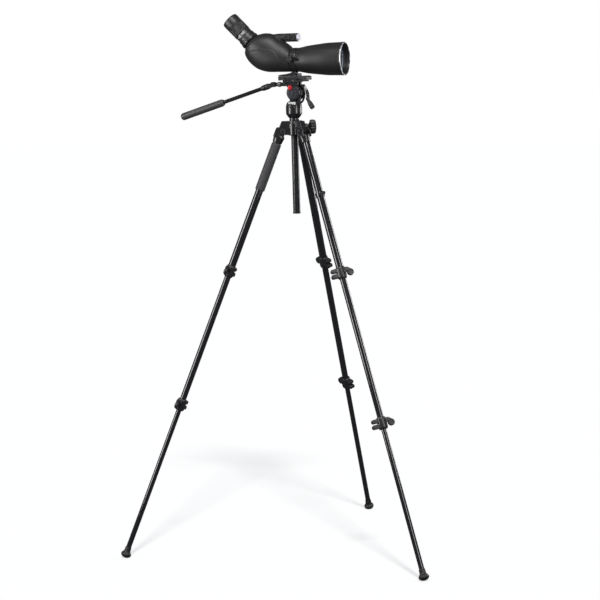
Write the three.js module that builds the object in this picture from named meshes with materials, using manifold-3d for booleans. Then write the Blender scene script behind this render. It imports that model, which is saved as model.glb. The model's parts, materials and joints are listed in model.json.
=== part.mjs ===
// An angled spotting scope clamped to a fluid pan-and-tilt head on a three-section tripod.
// Millimetres, +Z up. The scope looks along +X, and the tripod's column is on the assembly's own Z axis.
import * as THREE from "three";
import { ParametricGeometry } from "three/addons/geometries/ParametricGeometry.js";
import { mergeVertices } from "three/addons/utils/BufferGeometryUtils.js";
import Module from "manifold-3d";

// ---- driving dimensions ----
const GAP = 0.3; // left between pieces that touch
const FINE = 24; // facets round a large turned piece
const MEDIUM = 16; // facets round a tube or a knob
const COARSE = 10; // facets round a pin

// tripod
const LEG_LENGTH = 1399; // hinge axis to the foot's centre
const LEG_SPLAY = THREE.MathUtils.degToRad(22);
const HINGE_RADIUS = 41.7; // from the column's axis
const HINGE_BOLT_RADIUS = 4;
const FOOT_RADIUS = 12.5;
const FOOT_FLAT = 1; // how much of the ball is worn flat against the ground
const SECTION_RADII = [11.75, 9.85, 8];
const TUBE_WALL = 1.2;
const SECTION_OVERLAP = 40;
const UPPER_LOCK_AT = 458; // down the leg from its hinge, as every other place on a leg is
const LOCK_HEIGHT = 37;
const LOCK_RADIUS = 15;
const CASTING_RADIUS = 16.5;
const CASTING_LENGTH = 39;
const TONGUE_THICKNESS = 20;
const CHEEK_THICKNESS = 5.5;
const SOCKET_DEPTH = 18; // where the casting's socket stops on the upper tube
const CLAMP_TURN = THREE.MathUtils.degToRad(60); // how far a lock is turned round its leg
const LEVER_PIN = [20, 8]; // out from the leg's axis, above the lock's middle
const GRIP_END = 192;
const GRIP_WALL = 4;
const LEGS = [
  { side: "left", azimuth: 207.5, lowerLockAt: 899, grip: true },
  { side: "front", azimuth: 327.5, lowerLockAt: 930, lug: true },
  { side: "rear", azimuth: 87.5, lowerLockAt: 908 },
];
const COLUMN_RADIUS = 11.1;
const COLUMN_LENGTH = 282;
const HUB_RADIUS = 19.5;
const HUB_HEIGHT = 45;
const HUB_BELOW_HINGE = 13;
const COLUMN_KNOB_AZIMUTH = THREE.MathUtils.degToRad(27.5);
const COLUMN_KNOB_DOWN = 20; // below the hub's top face

// fluid head, heights above the hub's top face
const CUP_RADIUS = 25;
const CUP_TOP = 46.5;
const TILT_AXIS_X = 7;
const TILT_AXIS_UP = 85.5;
const TILT_DISC_RADIUS = 24;
const DRUM_RADIUS = 20;
const DRUM_HALF = 10.5;
const FORK_HALF = 18;
const LEVER_PIVOT = [29, 105.5]; // x, height above the hub
const PLATE_LENGTH = 94;
const PLATE_CENTRE_X = 5.7;
const PLATE_WIDTH = 46;
const PLATE_THICKNESS = 13;
const PLATE_SCREW_X = -4;
const PLATE_SCREW_RADIUS = 3.1;
const RECEIVER = [-25, 22]; // span along X of the clamp that holds the plate
const RECEIVER_DEPTH = 14;
const PLATE_UNDER_UP = 124;
const HANDLE_JOINT = [-65, 112]; // x, height above the hub
const HANDLE_SLOPE = THREE.MathUtils.degToRad(17.1);
const HANDLE_TUBE_RADIUS = 6;
const HANDLE_GRIP_RADIUS = 11.5;
const HANDLE_GRIP_FROM = 174; // from the handle's joint
const HANDLE_GRIP_TO = 325;

// scope
const SCOPE_AXIS_UP = 185.4; // optical axis above the hub's top face
const NECK_RADIUS = 34.6;
const COLLAR_BACK = -5;
const COLLAR_LENGTH = 20;
const COLLAR_RADIUS = 37;
const COLLAR_SCREW = [5, 3]; // x, height above the optical axis
const BARREL_FRONT = 156;
const BEZEL_RADIUS = 50.6;
const BEZEL_LENGTH = 9;
const SHELL_WALL = 3;
const EYE_BASE = [-134.8, 59.4]; // where the eyepiece leaves the body, from the optical axis
const EYE_BASE_RADIUS = 30;
const FOCUS_UP = 68.5;
const FOCUS_RADIUS = 13;
const FOCUS_START = -27;
const FOCUS_RING_LENGTH = 17;

// derived
const HINGE_Z = LEG_LENGTH * Math.cos(LEG_SPLAY) + FOOT_RADIUS - FOOT_FLAT;
const HUB_BOTTOM = HINGE_Z - HUB_BELOW_HINGE;
const HUB_TOP = HUB_BOTTOM + HUB_HEIGHT;
const COLLAR_FRONT = COLLAR_BACK + COLLAR_LENGTH;
const PLATE_TOP_UP = PLATE_UNDER_UP + PLATE_THICKNESS;

// ---- materials ----
const material = (color, roughness, metalness = 0) =>
  new THREE.MeshStandardMaterial({ color, roughness, metalness });
const FINISH = {
  armour: [0x1b1b1c, 0.62],
  rubber: [0x1a1a1b, 0.8],
  casting: [0x232325, 0.45, 0.3],
  tube: [0x161617, 0.22, 0.6],
  moulding: [0x202022, 0.4],
  foam: [0x3b3b3e, 0.95],
  silver: [0xd7d7da, 0.25, 1],
  steel: [0xb0b0b3, 0.35, 1],
  cap: [0x4a4a50, 0.3, 0.4],
  glass: [0xbcc6d8, 0.05],
};

// ---- shaping helpers ----
const wasm = await Module();
wasm.setup();

/** A closed three.js geometry as a solid that can be joined and cut. */
function solid(geometry) {
  geometry.deleteAttribute("normal");
  geometry.deleteAttribute("uv");
  const { index, attributes } = mergeVertices(geometry, 1e-4);
  const faces = [];
  for (let i = 0; i < index.count; i += 3) {
    const corners = [index.getX(i), index.getX(i + 1), index.getX(i + 2)];
    if (new Set(corners).size === 3) faces.push(corners);
  }
  const facing = (turn) =>
    new wasm.Manifold(
      new wasm.Mesh({
        numProp: 3,
        vertProperties: attributes.position.array,
        triVerts: new Uint32Array(faces.flatMap(turn)),
      }),
    );
  const made = facing((corners) => corners);
  return made.volume() > 0 ? made : facing(([a, b, c]) => [a, c, b]);
}

/** A profile of [radius, height] points turned about Z; a ring's profile closes on itself. */
function turned(profile, facets = FINE, ring = false) {
  const points = profile.map(([r, z]) => new THREE.Vector2(r, z));
  if (ring) points.push(points[0].clone());
  return new THREE.LatheGeometry(points, facets).rotateX(Math.PI / 2);
}

const disc = (radius, low, high, facets = MEDIUM) =>
  turned([[0, low], [radius, low], [radius, high], [0, high]], facets);
const sleeve = (outer, inner, low, high, facets = MEDIUM) =>
  turned([[inner, low], [outer, low], [outer, high], [inner, high]], facets, true);
const box = ([x0, x1], [y0, y1], [z0, z1]) =>
  new THREE.BoxGeometry(x1 - x0, y1 - y0, z1 - z0).translate((x0 + x1) / 2, (y0 + y1) / 2, (z0 + z1) / 2);

/** An outline in the XZ plane, given as a Shape or as [x, z] corners, thickened evenly about y = 0. */
function slab(outline, thickness, curveSegments = 6) {
  const shape = Array.isArray(outline)
    ? new THREE.Shape(outline.map(([x, z]) => new THREE.Vector2(x, z)))
    : outline;
  return new THREE.ExtrudeGeometry(shape, { depth: thickness, bevelEnabled: false, curveSegments })
    .translate(0, 0, -thickness / 2)
    .rotateX(Math.PI / 2);
}
const alongX = (geometry) => geometry.rotateY(Math.PI / 2);
const alongY = (geometry) => geometry.rotateX(-Math.PI / 2);

const join = (...geometries) => geometries.map(solid).reduce((a, b) => a.add(b));
const cut = (body, ...geometries) => geometries.map(solid).reduce((a, b) => a.subtract(b), body);

/** Puts a finished solid into the scene graph as one named piece. */
function piece(parent, name, body, finish) {
  const { vertProperties, triVerts, numProp } = body.getMesh();
  const geometry = new THREE.BufferGeometry();
  geometry.setAttribute("position", new THREE.BufferAttribute(vertProperties, numProp));
  geometry.setIndex(new THREE.BufferAttribute(triVerts, 1));
  const flat = geometry.toNonIndexed();
  flat.computeVertexNormals();
  const mesh = new THREE.Mesh(flat, material(...FINISH[finish]));
  mesh.name = name;
  parent.add(mesh);
}

/** A nested frame, turned about Z and then about its own Y. */
function frame(parent, name, [x, y, z], aboutZ = 0, aboutY = 0) {
  const group = new THREE.Group();
  group.name = name;
  group.position.set(x, y, z);
  group.rotation.set(0, aboutY, aboutZ, "ZYX");
  parent.add(group);
  return group;
}

const assembly = new THREE.Group();

// ---- tripod hub and column ----
function addHub() {
  const tongueRadius = HUB_BELOW_HINGE - 2;
  const hub = solid(disc(HUB_RADIUS, HUB_BOTTOM, HUB_TOP, FINE));
  const tongueTop = HUB_HEIGHT - HUB_BELOW_HINGE;
  const tongue = new THREE.Shape();
  tongue.moveTo(COLUMN_RADIUS + 3, -tongueRadius);
  tongue.lineTo(HINGE_RADIUS, -tongueRadius);
  tongue.absarc(HINGE_RADIUS, 0, tongueRadius, -Math.PI / 2, 0, false);
  tongue.lineTo(HINGE_RADIUS + 3, tongueTop - 14);
  tongue.lineTo(HINGE_RADIUS - 3, tongueTop);
  tongue.lineTo(COLUMN_RADIUS + 3, tongueTop);
  let body = LEGS.reduce(
    (made, { azimuth }) =>
      made.add(
        solid(
          slab(tongue, TONGUE_THICKNESS)
            .translate(0, 0, HINGE_Z)
            .rotateZ(THREE.MathUtils.degToRad(azimuth)),
        ),
      ),
    hub,
  );
  const knobUp = HUB_TOP - COLUMN_KNOB_DOWN;
  const alongKnob = (geometry) => alongX(geometry).translate(0, 0, knobUp).rotateZ(COLUMN_KNOB_AZIMUTH);
  body = body.add(solid(alongKnob(disc(11, COLUMN_RADIUS + 4, 40))));
  body = cut(
    body,
    disc(COLUMN_RADIUS + GAP, HUB_BOTTOM - 1, HUB_TOP + 1, MEDIUM),
    alongKnob(disc(4 + GAP, 0, 45, COARSE)),
    ...LEGS.map(({ azimuth }) =>
      alongY(disc(HINGE_BOLT_RADIUS + GAP, -30, 30, COARSE))
        .translate(HINGE_RADIUS, 0, HINGE_Z)
        .rotateZ(THREE.MathUtils.degToRad(azimuth)),
    ),
  );
  piece(assembly, "hub", body, "casting");
}

function addColumn() {
  const foot = HUB_TOP - COLUMN_LENGTH;
  piece(
    assembly,
    "column",
    solid(sleeve(COLUMN_RADIUS, COLUMN_RADIUS - TUBE_WALL, foot, HUB_TOP)),
    "tube",
  );
  const rim = [[0, foot - 4], [11, foot - 4], [12.6, foot - 3], [12.6, foot - GAP]];
  const stem = [[9.4, foot - GAP], [9.4, foot + 15], [0, foot + 15]];
  const plug = turned([...rim, ...stem], MEDIUM);
  piece(assembly, "column_plug", solid(plug), "moulding");
}

function addColumnKnob() {
  const up = HUB_TOP - COLUMN_KNOB_DOWN;
  const knob = frame(assembly, "column_knob_frame", [0, 0, up], COLUMN_KNOB_AZIMUTH);
  const grip = [[0, 12], [4, 12], [4, 42], [9, 42], [12, 47], [22, 49], [22, 60], [18, 65], [0, 66]];
  piece(knob, "column_knob", solid(alongX(turned(grip, MEDIUM))), "moulding");
}

// ---- legs ----
/** The clamp that closes the upper of two tubes on the lower one, with lever cheeks and two ears. */
function lockSolid(at, outerTube, innerTube) {
  const top = -at + LOCK_HEIGHT / 2;
  const bottom = top - LOCK_HEIGHT;
  const step = -at - 3;
  const clamp = join(
    disc(LOCK_RADIUS, bottom, top),
    box([-31, -8], [-8, 8], [-at + 3, -at + 15]),
    box([-33, -8], [-8, 8], [-at - 14, -at - 1]),
    box([8, 25], [5 + GAP, 9], [-at + 1, -at + 14]),
    box([8, 25], [-9, -5 - GAP], [-at + 1, -at + 14]),
    alongY(disc(2, -7, 7, COARSE)).translate(LEVER_PIN[0], 0, LEVER_PIN[1] - at),
  );
  return cut(
    clamp,
    disc(outerTube + GAP, step, top + 1),
    disc(innerTube + GAP, bottom - 1, step + 1),
  );
}

/** The round-ended paddle that turns on the clamp's cross pin. */
function leverSolid(at) {
  const paddle = alongY(disc(12, -5, 5)).translate(30, 0, -at - 2);
  const arm = slab([[17.5, 4], [23, 12], [34, 6], [30, -8], [20, -4]], 10).translate(0, 0, -at);
  const pinHole = alongY(disc(2 + GAP, -6, 6, COARSE)).translate(LEVER_PIN[0], 0, LEVER_PIN[1] - at);
  return cut(join(paddle, arm), pinHole);
}

/** The band with a holed ear that a carrying strap clips to, bonded on the upper tube. */
function strapLug(tubeRadius) {
  return cut(
    join(disc(tubeRadius + 2.5, -214, -200), box([6, 24], [-4, 4], [-212, -202])),
    disc(tubeRadius - 0.5, -220, -190),
    alongY(disc(2.6, -10, 10, COARSE)).translate(19, 0, -207),
  );
}

function addLeg({ side, azimuth, lowerLockAt, grip, lug }) {
  const leg = frame(assembly, side + "_leg", [0, 0, 0], THREE.MathUtils.degToRad(azimuth));
  const limb = frame(leg, side + "_limb", [HINGE_RADIUS, 0, HINGE_Z], 0, -LEG_SPLAY);
  const name = (what) => side + "_" + what;
  const [upper, middle, lower] = SECTION_RADII;
  const cheekInner = TONGUE_THICKNESS / 2 + GAP;
  const cheekOuter = cheekInner + CHEEK_THICKNESS;
  const socketTop = -HUB_BELOW_HINGE - 0.5;

  const cheek = new THREE.Shape();
  cheek.moveTo(-CASTING_RADIUS + 4, -22);
  cheek.lineTo(-11, 0);
  cheek.absarc(0, 0, 11, Math.PI, Math.PI / 2, true);
  cheek.lineTo(16, 9);
  cheek.lineTo(CASTING_RADIUS, -22);
  const cheeks = [-1, 1].map((turn) =>
    slab(cheek, CHEEK_THICKNESS).translate(0, turn * (cheekInner + CHEEK_THICKNESS / 2), 0),
  );
  const casting = cut(
    join(disc(CASTING_RADIUS, -CASTING_LENGTH, socketTop), ...cheeks),
    disc(upper + GAP, -CASTING_LENGTH - 1, -SOCKET_DEPTH),
    alongY(disc(HINGE_BOLT_RADIUS + GAP, -20, 20, COARSE)),
  );
  piece(limb, name("casting"), casting, "casting");

  const shank = cheekOuter + GAP;
  const headOuter = cheekOuter + 3;
  const boltHalf = [[HINGE_BOLT_RADIUS, shank], [6.5, shank], [6.5, headOuter], [0, headOuter]];
  const bolt = [...boltHalf.map(([r, y]) => [r, -y]).reverse(), ...boltHalf];
  piece(limb, name("hinge_bolt"), solid(alongY(turned(bolt, COARSE))), "steel");

  const tube = (radius, from, to) => solid(sleeve(radius, radius - TUBE_WALL, -to, -from));
  const upperTube = tube(upper, SOCKET_DEPTH + GAP, UPPER_LOCK_AT + 2);
  piece(limb, name("upper_tube"), lug ? upperTube.add(strapLug(upper)) : upperTube, "tube");
  piece(limb, name("middle_tube"), tube(middle, UPPER_LOCK_AT - SECTION_OVERLAP, lowerLockAt + 2), "tube");
  piece(limb, name("lower_tube"), tube(lower, lowerLockAt - SECTION_OVERLAP, LEG_LENGTH - 9), "tube");

  const clampFrame = frame(limb, side + "_clamps", [0, 0, 0], CLAMP_TURN);
  piece(clampFrame, name("upper_lock"), lockSolid(UPPER_LOCK_AT, upper, middle), "moulding");
  piece(clampFrame, name("upper_lever"), leverSolid(UPPER_LOCK_AT), "moulding");
  piece(clampFrame, name("lower_lock"), lockSolid(lowerLockAt, middle, lower), "moulding");
  piece(clampFrame, name("lower_lever"), leverSolid(lowerLockAt), "moulding");

  const ball = new THREE.SphereGeometry(FOOT_RADIUS, MEDIUM, COARSE).rotateX(Math.PI / 2);
  const boot = disc(10.4, 0, 24);
  const groundFace = box([-40, 40], [-40, 40], [-30, 0])
    .translate(0, 0, -FOOT_RADIUS + FOOT_FLAT)
    .rotateY(LEG_SPLAY);
  const foot = cut(
    join(ball, boot),
    groundFace,
    sleeve(lower + GAP, lower - TUBE_WALL - GAP, 9 - GAP, 25),
  );
  const footFrame = frame(limb, side + "_foot_frame", [0, 0, -LEG_LENGTH]);
  piece(footFrame, name("foot"), foot, "rubber");

  if (grip) {
    const foam = sleeve(upper + GRIP_WALL, upper + GAP, -GRIP_END, -CASTING_LENGTH - GAP);
    piece(limb, "leg_grip", solid(foam), "foam");
  }
}

// ---- fluid head ----
const head = frame(assembly, "head_frame", [0, 0, HUB_TOP]);

function addHeadBase() {
  const profile = [
    [0, -14], [8, -14], [8, GAP], [15, GAP], [15, 10], [18.3, 11], [CUP_RADIUS, 24],
    [CUP_RADIUS, CUP_TOP - 2], [CUP_RADIUS - 1, CUP_TOP],
    [10, CUP_TOP], [10, CUP_TOP + 5], [0, CUP_TOP + 5],
  ];
  piece(head, "head_base", solid(turned(profile)), "casting");
}

const onTiltAxis = (geometry) => alongY(geometry).translate(TILT_AXIS_X, 0, TILT_AXIS_UP);

function addYoke() {
  const low = CUP_TOP + GAP;
  const spigotRoom = [[0, low + 5], [10 + GAP, low + 5], [10 + GAP, low]];
  const cone = turned([...spigotRoom, [24, low], [21, low + 8], [17, low + 12], [0, low + 12]]);
  const neck = box([-10, 18], [-DRUM_HALF, DRUM_HALF], [low + 10, TILT_AXIS_UP - 8]);
  const drum = onTiltAxis(disc(DRUM_RADIUS, -DRUM_HALF, DRUM_HALF, FINE));
  const arm = new THREE.Shape();
  arm.moveTo(12, low + 10);
  arm.quadraticCurveTo(30, low + 15, 32.5, TILT_AXIS_UP - 8);
  arm.quadraticCurveTo(33.5, TILT_AXIS_UP + 8, LEVER_PIVOT[0] - 4, LEVER_PIVOT[1] - 2);
  arm.lineTo(LEVER_PIVOT[0] + 1, LEVER_PIVOT[1] + 2);
  arm.quadraticCurveTo(38.5, TILT_AXIS_UP + 6, 37, TILT_AXIS_UP - 10);
  arm.quadraticCurveTo(33, low + 10, 18, low + 3);
  const pin = alongY(disc(2.5, -9, 9, COARSE)).translate(LEVER_PIVOT[0], 0, LEVER_PIVOT[1]);
  piece(head, "pan_yoke", join(cone, neck, drum, slab(arm, 8), pin), "casting");
}

function addTiltHousing() {
  const cheek = (FORK_HALF - DRUM_HALF - 0.5) / 2;
  const discs = [-1, 1].map((turn) =>
    onTiltAxis(disc(TILT_DISC_RADIUS, -cheek, cheek, FINE)).translate(0, turn * (FORK_HALF - cheek), 0),
  );
  const under = PLATE_UNDER_UP - GAP;
  const [back, front] = RECEIVER;
  const shoulder = under - RECEIVER_DEPTH;
  const waist = [[-14, TILT_AXIS_UP + 8], [26, TILT_AXIS_UP + 8]];
  const crown = slab(
    [...waist, [front, shoulder + 6], [front, under], [back, under], [back, shoulder]],
    2 * FORK_HALF,
  );
  const railInner = PLATE_WIDTH / 2 + GAP;
  const railOuter = PLATE_WIDTH / 2 + 4;
  const rails = [[railInner, railOuter], [-railOuter, -railInner]].map((across) =>
    box(RECEIVER, across, [under - 5, under + 7]),
  );
  const sill = box(RECEIVER, [-railOuter, railOuter], [under - 6, under]);
  const drumRoom = onTiltAxis(disc(DRUM_RADIUS + 0.6, -DRUM_HALF - 0.5, DRUM_HALF + 0.5, FINE));
  const armRoom = box([TILT_AXIS_X - 8, 45], [-10, 10], [TILT_AXIS_UP - 40, under - 3]);
  const housing = cut(join(...discs, crown, sill, ...rails), drumRoom, armRoom);
  piece(head, "tilt_housing", housing, "casting");

  const seat = FORK_HALF + GAP;
  const cap = [[0, seat], [21.4, seat], [21.4, seat + 2.7], [19, seat + 4.2], [0, seat + 5.2]];
  const badge = alongY(disc(7.5, -FORK_HALF - 9, -FORK_HALF - 2)).translate(-10, 0, 16);
  const tiltCap = join(alongY(turned(cap)).rotateZ(Math.PI), badge);
  const capFrame = frame(head, "tilt_cap_frame", [TILT_AXIS_X, 0, TILT_AXIS_UP]);
  piece(capFrame, "tilt_cap", tiltCap, "cap");
}

function addPlate() {
  const half = PLATE_WIDTH / 2;
  const span = [PLATE_CENTRE_X - PLATE_LENGTH / 2, PLATE_CENTRE_X + PLATE_LENGTH / 2];
  const stopPin = disc(8, PLATE_TOP_UP - 2, PLATE_TOP_UP + 8).translate(20, 0, 0);
  const atScrew = (geometry) => geometry.translate(PLATE_SCREW_X, 0, 0);
  const headTop = PLATE_UNDER_UP + 5;
  const plate = cut(
    join(box(span, [-half, half], [PLATE_UNDER_UP, PLATE_TOP_UP]), stopPin),
    atScrew(disc(PLATE_SCREW_RADIUS + GAP, PLATE_UNDER_UP - 1, PLATE_TOP_UP + 1, COARSE)),
    atScrew(disc(9, PLATE_UNDER_UP - 1, headTop)),
  );
  piece(head, "quick_release_plate", plate, "casting");
  const screwHead = [[0, PLATE_UNDER_UP + 1], [8.5, PLATE_UNDER_UP + 1], [8.5, headTop - GAP]];
  const screwShank = [
    [PLATE_SCREW_RADIUS, headTop - GAP],
    [PLATE_SCREW_RADIUS, PLATE_TOP_UP + 9],
    [0, PLATE_TOP_UP + 9],
  ];
  const screw = atScrew(turned([...screwHead, ...screwShank], COARSE));
  piece(head, "plate_screw", solid(screw), "steel");
  const pivot = [12, -PLATE_WIDTH / 2 - 9];
  const lever = join(
    disc(4.5, PLATE_UNDER_UP - 6, PLATE_UNDER_UP + 1, COARSE).translate(...pivot, 0),
    box([pivot[0], 63], [pivot[1] - 2.5, pivot[1] + 2.5], [PLATE_UNDER_UP - 4.5, PLATE_UNDER_UP]),
  );
  piece(head, "plate_lever", lever, "moulding");
}

function addLockLever() {
  const pivot = frame(head, "lock_lever_frame", [LEVER_PIVOT[0], 0, LEVER_PIVOT[1]]);
  const knobTilt = THREE.MathUtils.degToRad(-31);
  const strap = new THREE.Shape();
  strap.moveTo(1, 4.5);
  strap.quadraticCurveTo(16, -8, 14, -28);
  strap.lineTo(18, -42);
  strap.lineTo(21, -41);
  strap.quadraticCurveTo(20, -8, 4, 6);
  const ears = [-1, 1].map((turn) => alongY(disc(5, -2, 2, MEDIUM)).translate(0, turn * 6.5, 0));
  const straps = [-1, 1].map((turn) => slab(strap, 4).translate(0, turn * 6.5, 0));
  const bridge = box([13.5, 20], [-8.5, 8.5], [-44, -34]);
  const knob = turned([[0, -34], [5, -34], [8, -31], [8, -17], [4.5, -3], [0, -3]], MEDIUM)
    .rotateY(knobTilt)
    .translate(16, 0, -40);
  const lever = cut(
    join(...ears, ...straps, bridge, knob),
    alongY(disc(2.5 + GAP, -10, 10, COARSE)),
  );
  piece(pivot, "lock_lever", lever, "moulding");
}

function addHandle() {
  const [jointX, jointUp] = HANDLE_JOINT;
  const bracket = join(
    box([jointX, RECEIVER[0] - GAP], [-6, 6], [jointUp - 6, jointUp + 6]),
    alongY(disc(8, -6, 6)).translate(jointX, 0, jointUp),
  );
  piece(head, "handle_bracket", bracket, "moulding");
  const arm = frame(head, "handle_frame", [jointX, 0, jointUp], 0, Math.PI / 2 - HANDLE_SLOPE);
  const cheeks = [-1, 1].map((turn) => alongY(disc(8, -2.3, 2.3)).translate(0, turn * 8.6, 0));
  const arms = [-1, 1].map((turn) => box([-6, 6], [-2.3, 2.3], [-22, 0]).translate(0, turn * 8.6, 0));
  const socket = disc(9, -40, -14);
  const rod = sleeve(HANDLE_TUBE_RADIUS, 4.6, -HANDLE_GRIP_TO + 7, -30);
  piece(arm, "handle_arm", join(...cheeks, ...arms, socket, rod), "moulding");
  const outside = [
    [0, -HANDLE_GRIP_TO],
    [9.5, -HANDLE_GRIP_TO],
    [HANDLE_GRIP_RADIUS, -HANDLE_GRIP_TO + 5],
    [HANDLE_GRIP_RADIUS, -HANDLE_GRIP_FROM - 4],
    [9.5, -HANDLE_GRIP_FROM],
  ];
  const rodRoom = [
    [HANDLE_TUBE_RADIUS + GAP, -HANDLE_GRIP_FROM],
    [HANDLE_TUBE_RADIUS + GAP, -HANDLE_GRIP_TO + 6],
    [0, -HANDLE_GRIP_TO + 6],
  ];
  const grip = [...outside, ...rodRoom];
  piece(arm, "handle_grip", solid(turned(grip, MEDIUM)), "foam");
}

// ---- scope ----
const scope = frame(assembly, "scope_frame", [0, 0, HUB_TOP + SCOPE_AXIS_UP]);
const eye = frame(scope, "eyepiece_frame", [EYE_BASE[0], 0, EYE_BASE[1]], 0, -Math.PI / 4);

const curveThrough = (points) =>
  new THREE.CatmullRomCurve3(points.map(([x, z]) => new THREE.Vector3(x, 0, z)));
const reach = EYE_BASE_RADIUS * Math.SQRT1_2;
const BODY_BACK = curveThrough([
  [EYE_BASE[0] + reach, EYE_BASE[1] + reach],
  ...[[-90, 84], [-64, 79], [-38, 62], [-20, 50.5], [-10, 42.5], [-6, 37]],
]);
const BODY_BELLY = curveThrough([
  [EYE_BASE[0] - reach, EYE_BASE[1] - reach],
  ...[[-158, 19], [-145, -3], [-120, -23.5], [-88, -34], [-48, -35.5], [-6, -36]],
]);
const BODY_HALF_WIDTHS = curveThrough([[0, 30], [1, 37], [2, 41], [3, 41.5], [4, 41], [5, 39], [6, 36.4]]);

/** The pear-shaped body: ellipses strung between its back and its belly, drawn in by an inset. */
function bodyLoft(inset, facets, rings) {
  const endWall = inset / 100; // share of the body's length left solid at each end
  return new ParametricGeometry(
    (around, along, target) => {
      const share = THREE.MathUtils.clamp((along * (rings + 2) - 1) / rings, 0, 1);
      const at = THREE.MathUtils.lerp(endWall, 1 - endWall, share);
      const back = BODY_BACK.getPoint(at);
      const half = back.clone().sub(BODY_BELLY.getPoint(at)).multiplyScalar(0.5);
      const centre = back.sub(half);
      const isCap = along === 0 || along === 1;
      const size = isCap ? 0 : 1;
      const tall = Math.max(half.length() - inset, 1) * size;
      const wide = Math.max(BODY_HALF_WIDTHS.getPoint(at).z - inset, 1) * size;
      const turn = around * 2 * Math.PI;
      target.copy(half.normalize().multiplyScalar(tall * Math.cos(turn)).add(centre));
      target.y = wide * Math.sin(turn);
    },
    facets,
    rings + 2,
  );
}

function addBody() {
  const fairingTail = [[0, -84], [7, -84], [11, -69], [FOCUS_RADIUS, -50]];
  const fairing = alongX(
    turned([...fairingTail, [FOCUS_RADIUS, FOCUS_START], [0, FOCUS_START]], MEDIUM),
  ).translate(0, 0, FOCUS_UP);
  const portBore = disc(21.8, -40, 5, FINE).rotateY(-Math.PI / 4).translate(EYE_BASE[0], 0, EYE_BASE[1]);
  const shell = cut(
    join(bodyLoft(0, 24, 12), fairing),
    bodyLoft(SHELL_WALL, 16, 8),
    alongX(disc(32, -40, 0, FINE)),
    portBore,
    alongX(disc(4 + GAP, -52, 0, COARSE)).translate(0, 0, FOCUS_UP),
  );
  piece(scope, "body_shell", shell, "armour");
  const prism = slab([[-48, -18], [-48, 18], [-82, 40], [-111, 11], [-97, -14]], 40);
  piece(scope, "prism", solid(prism), "glass");
}

function addBarrel() {
  const spigot = 31.7;
  const neck = [
    [spigot, -32], [spigot, -6 + GAP],
    [NECK_RADIUS, -6 + GAP], [NECK_RADIUS, COLLAR_FRONT + GAP],
    [36.4, COLLAR_FRONT + GAP],
  ];
  const flare = new THREE.CatmullRomCurve3(
    [[36.8, 20], [41.8, 45], [45.6, 76], [49, 109], [50, 140], [50.3, BARREL_FRONT]].map(
      ([r, x]) => new THREE.Vector3(r, x, 0),
    ),
  );
  const taper = flare.getPoints(5).map(({ x, y }) => [x, y]);
  const bore = [[44.6, BARREL_FRONT], [44.6, 144], [43, 144], [43, 100], [32.5, 15], [29, -5], [29, -32]];
  const barrel = turned([...neck, ...taper, ...bore], FINE, true);
  piece(scope, "barrel", solid(alongX(barrel)), "armour");

  const back = BARREL_FRONT + GAP;
  const front = back + BEZEL_LENGTH;
  const bezel = [
    [44.6, back], [BEZEL_RADIUS, back], [BEZEL_RADIUS, front - 1.5],
    [BEZEL_RADIUS - 1.6, front], [46.5, front], [45.5, back + 2],
  ];
  piece(scope, "bezel", solid(alongX(turned(bezel, FINE, true))), "silver");
  const objective = [
    [0, 144.6], [20, 145.2], [44.2, 146.5], [44.2, 150],
    [34, 152.4], [18, 154.2], [0, 155],
  ];
  piece(scope, "objective_lens", solid(alongX(turned(objective))), "glass");
  const corrector = [[0, -17], [18, -19], [28.6, -19], [28.6, -9], [24, -9], [12, -10.5], [0, -11]];
  piece(scope, "focusing_lens", solid(alongX(turned(corrector, MEDIUM))), "glass");
}

function addCollar() {
  const ring = alongX(disc(COLLAR_RADIUS, COLLAR_BACK, COLLAR_FRONT, FINE));
  const drop = PLATE_TOP_UP - SCOPE_AXIS_UP + GAP;
  const [screwX, screwUp] = COLLAR_SCREW;
  const pedestal = join(
    box([-10, 8], [-12, 12], [drop + 2, -38]),
    box([COLLAR_BACK, 8], [-12, 12], [-38.5, -30]),
  );
  const foot = slab(
    [[-48, drop], [10, drop], [8, drop + 6], [-10, drop + 9], [-20, drop + 5.5], [-48, drop + 3]],
    30,
  );
  const boss = alongY(disc(9, -COLLAR_RADIUS - 6, -30)).translate(screwX, 0, screwUp);
  const collar = cut(
    join(ring, foot, boss).add(pedestal),
    alongX(disc(NECK_RADIUS + 0.4, COLLAR_BACK - 1, COLLAR_FRONT + 1, FINE)),
    disc(PLATE_SCREW_RADIUS + GAP, drop - 1, drop + 10, COARSE).translate(PLATE_SCREW_X, 0, 0),
    alongY(disc(3 + GAP, -50, -30, COARSE)).translate(screwX, 0, screwUp),
  );
  piece(scope, "collar", collar, "moulding");
  const bossFace = COLLAR_RADIUS + 6 + GAP;
  const screw = [
    [0, COLLAR_RADIUS - 1.5], [3, COLLAR_RADIUS - 1.5], [3, bossFace], [8, bossFace],
    [9.5, bossFace + 3], [9.5, bossFace + 12], [8, bossFace + 14], [0, bossFace + 14],
  ];
  const screwFrame = frame(scope, "collar_screw_frame", [screwX, 0, screwUp]);
  piece(screwFrame, "collar_screw", solid(alongY(turned(screw, MEDIUM)).rotateZ(Math.PI)), "moulding");
}

function addFocus() {
  const focus = frame(scope, "focus_frame", [FOCUS_START, 0, FOCUS_UP]);
  const split = FOCUS_RING_LENGTH + 2 * GAP;
  const ring = sleeve(FOCUS_RADIUS, 4 + GAP, GAP, FOCUS_RING_LENGTH + GAP);
  piece(focus, "coarse_focus_ring", solid(alongX(ring)), "rubber");
  const knob = [
    [0, -22], [4, -22], [4, split], [FOCUS_RADIUS, split], [FOCUS_RADIUS, split + FOCUS_RING_LENGTH - 1],
    [12.4, split + FOCUS_RING_LENGTH], [12.4, split + 26], [11, split + 28], [0, split + 28],
  ];
  piece(focus, "fine_focus_knob", solid(alongX(turned(knob, MEDIUM))), "rubber");
}

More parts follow.
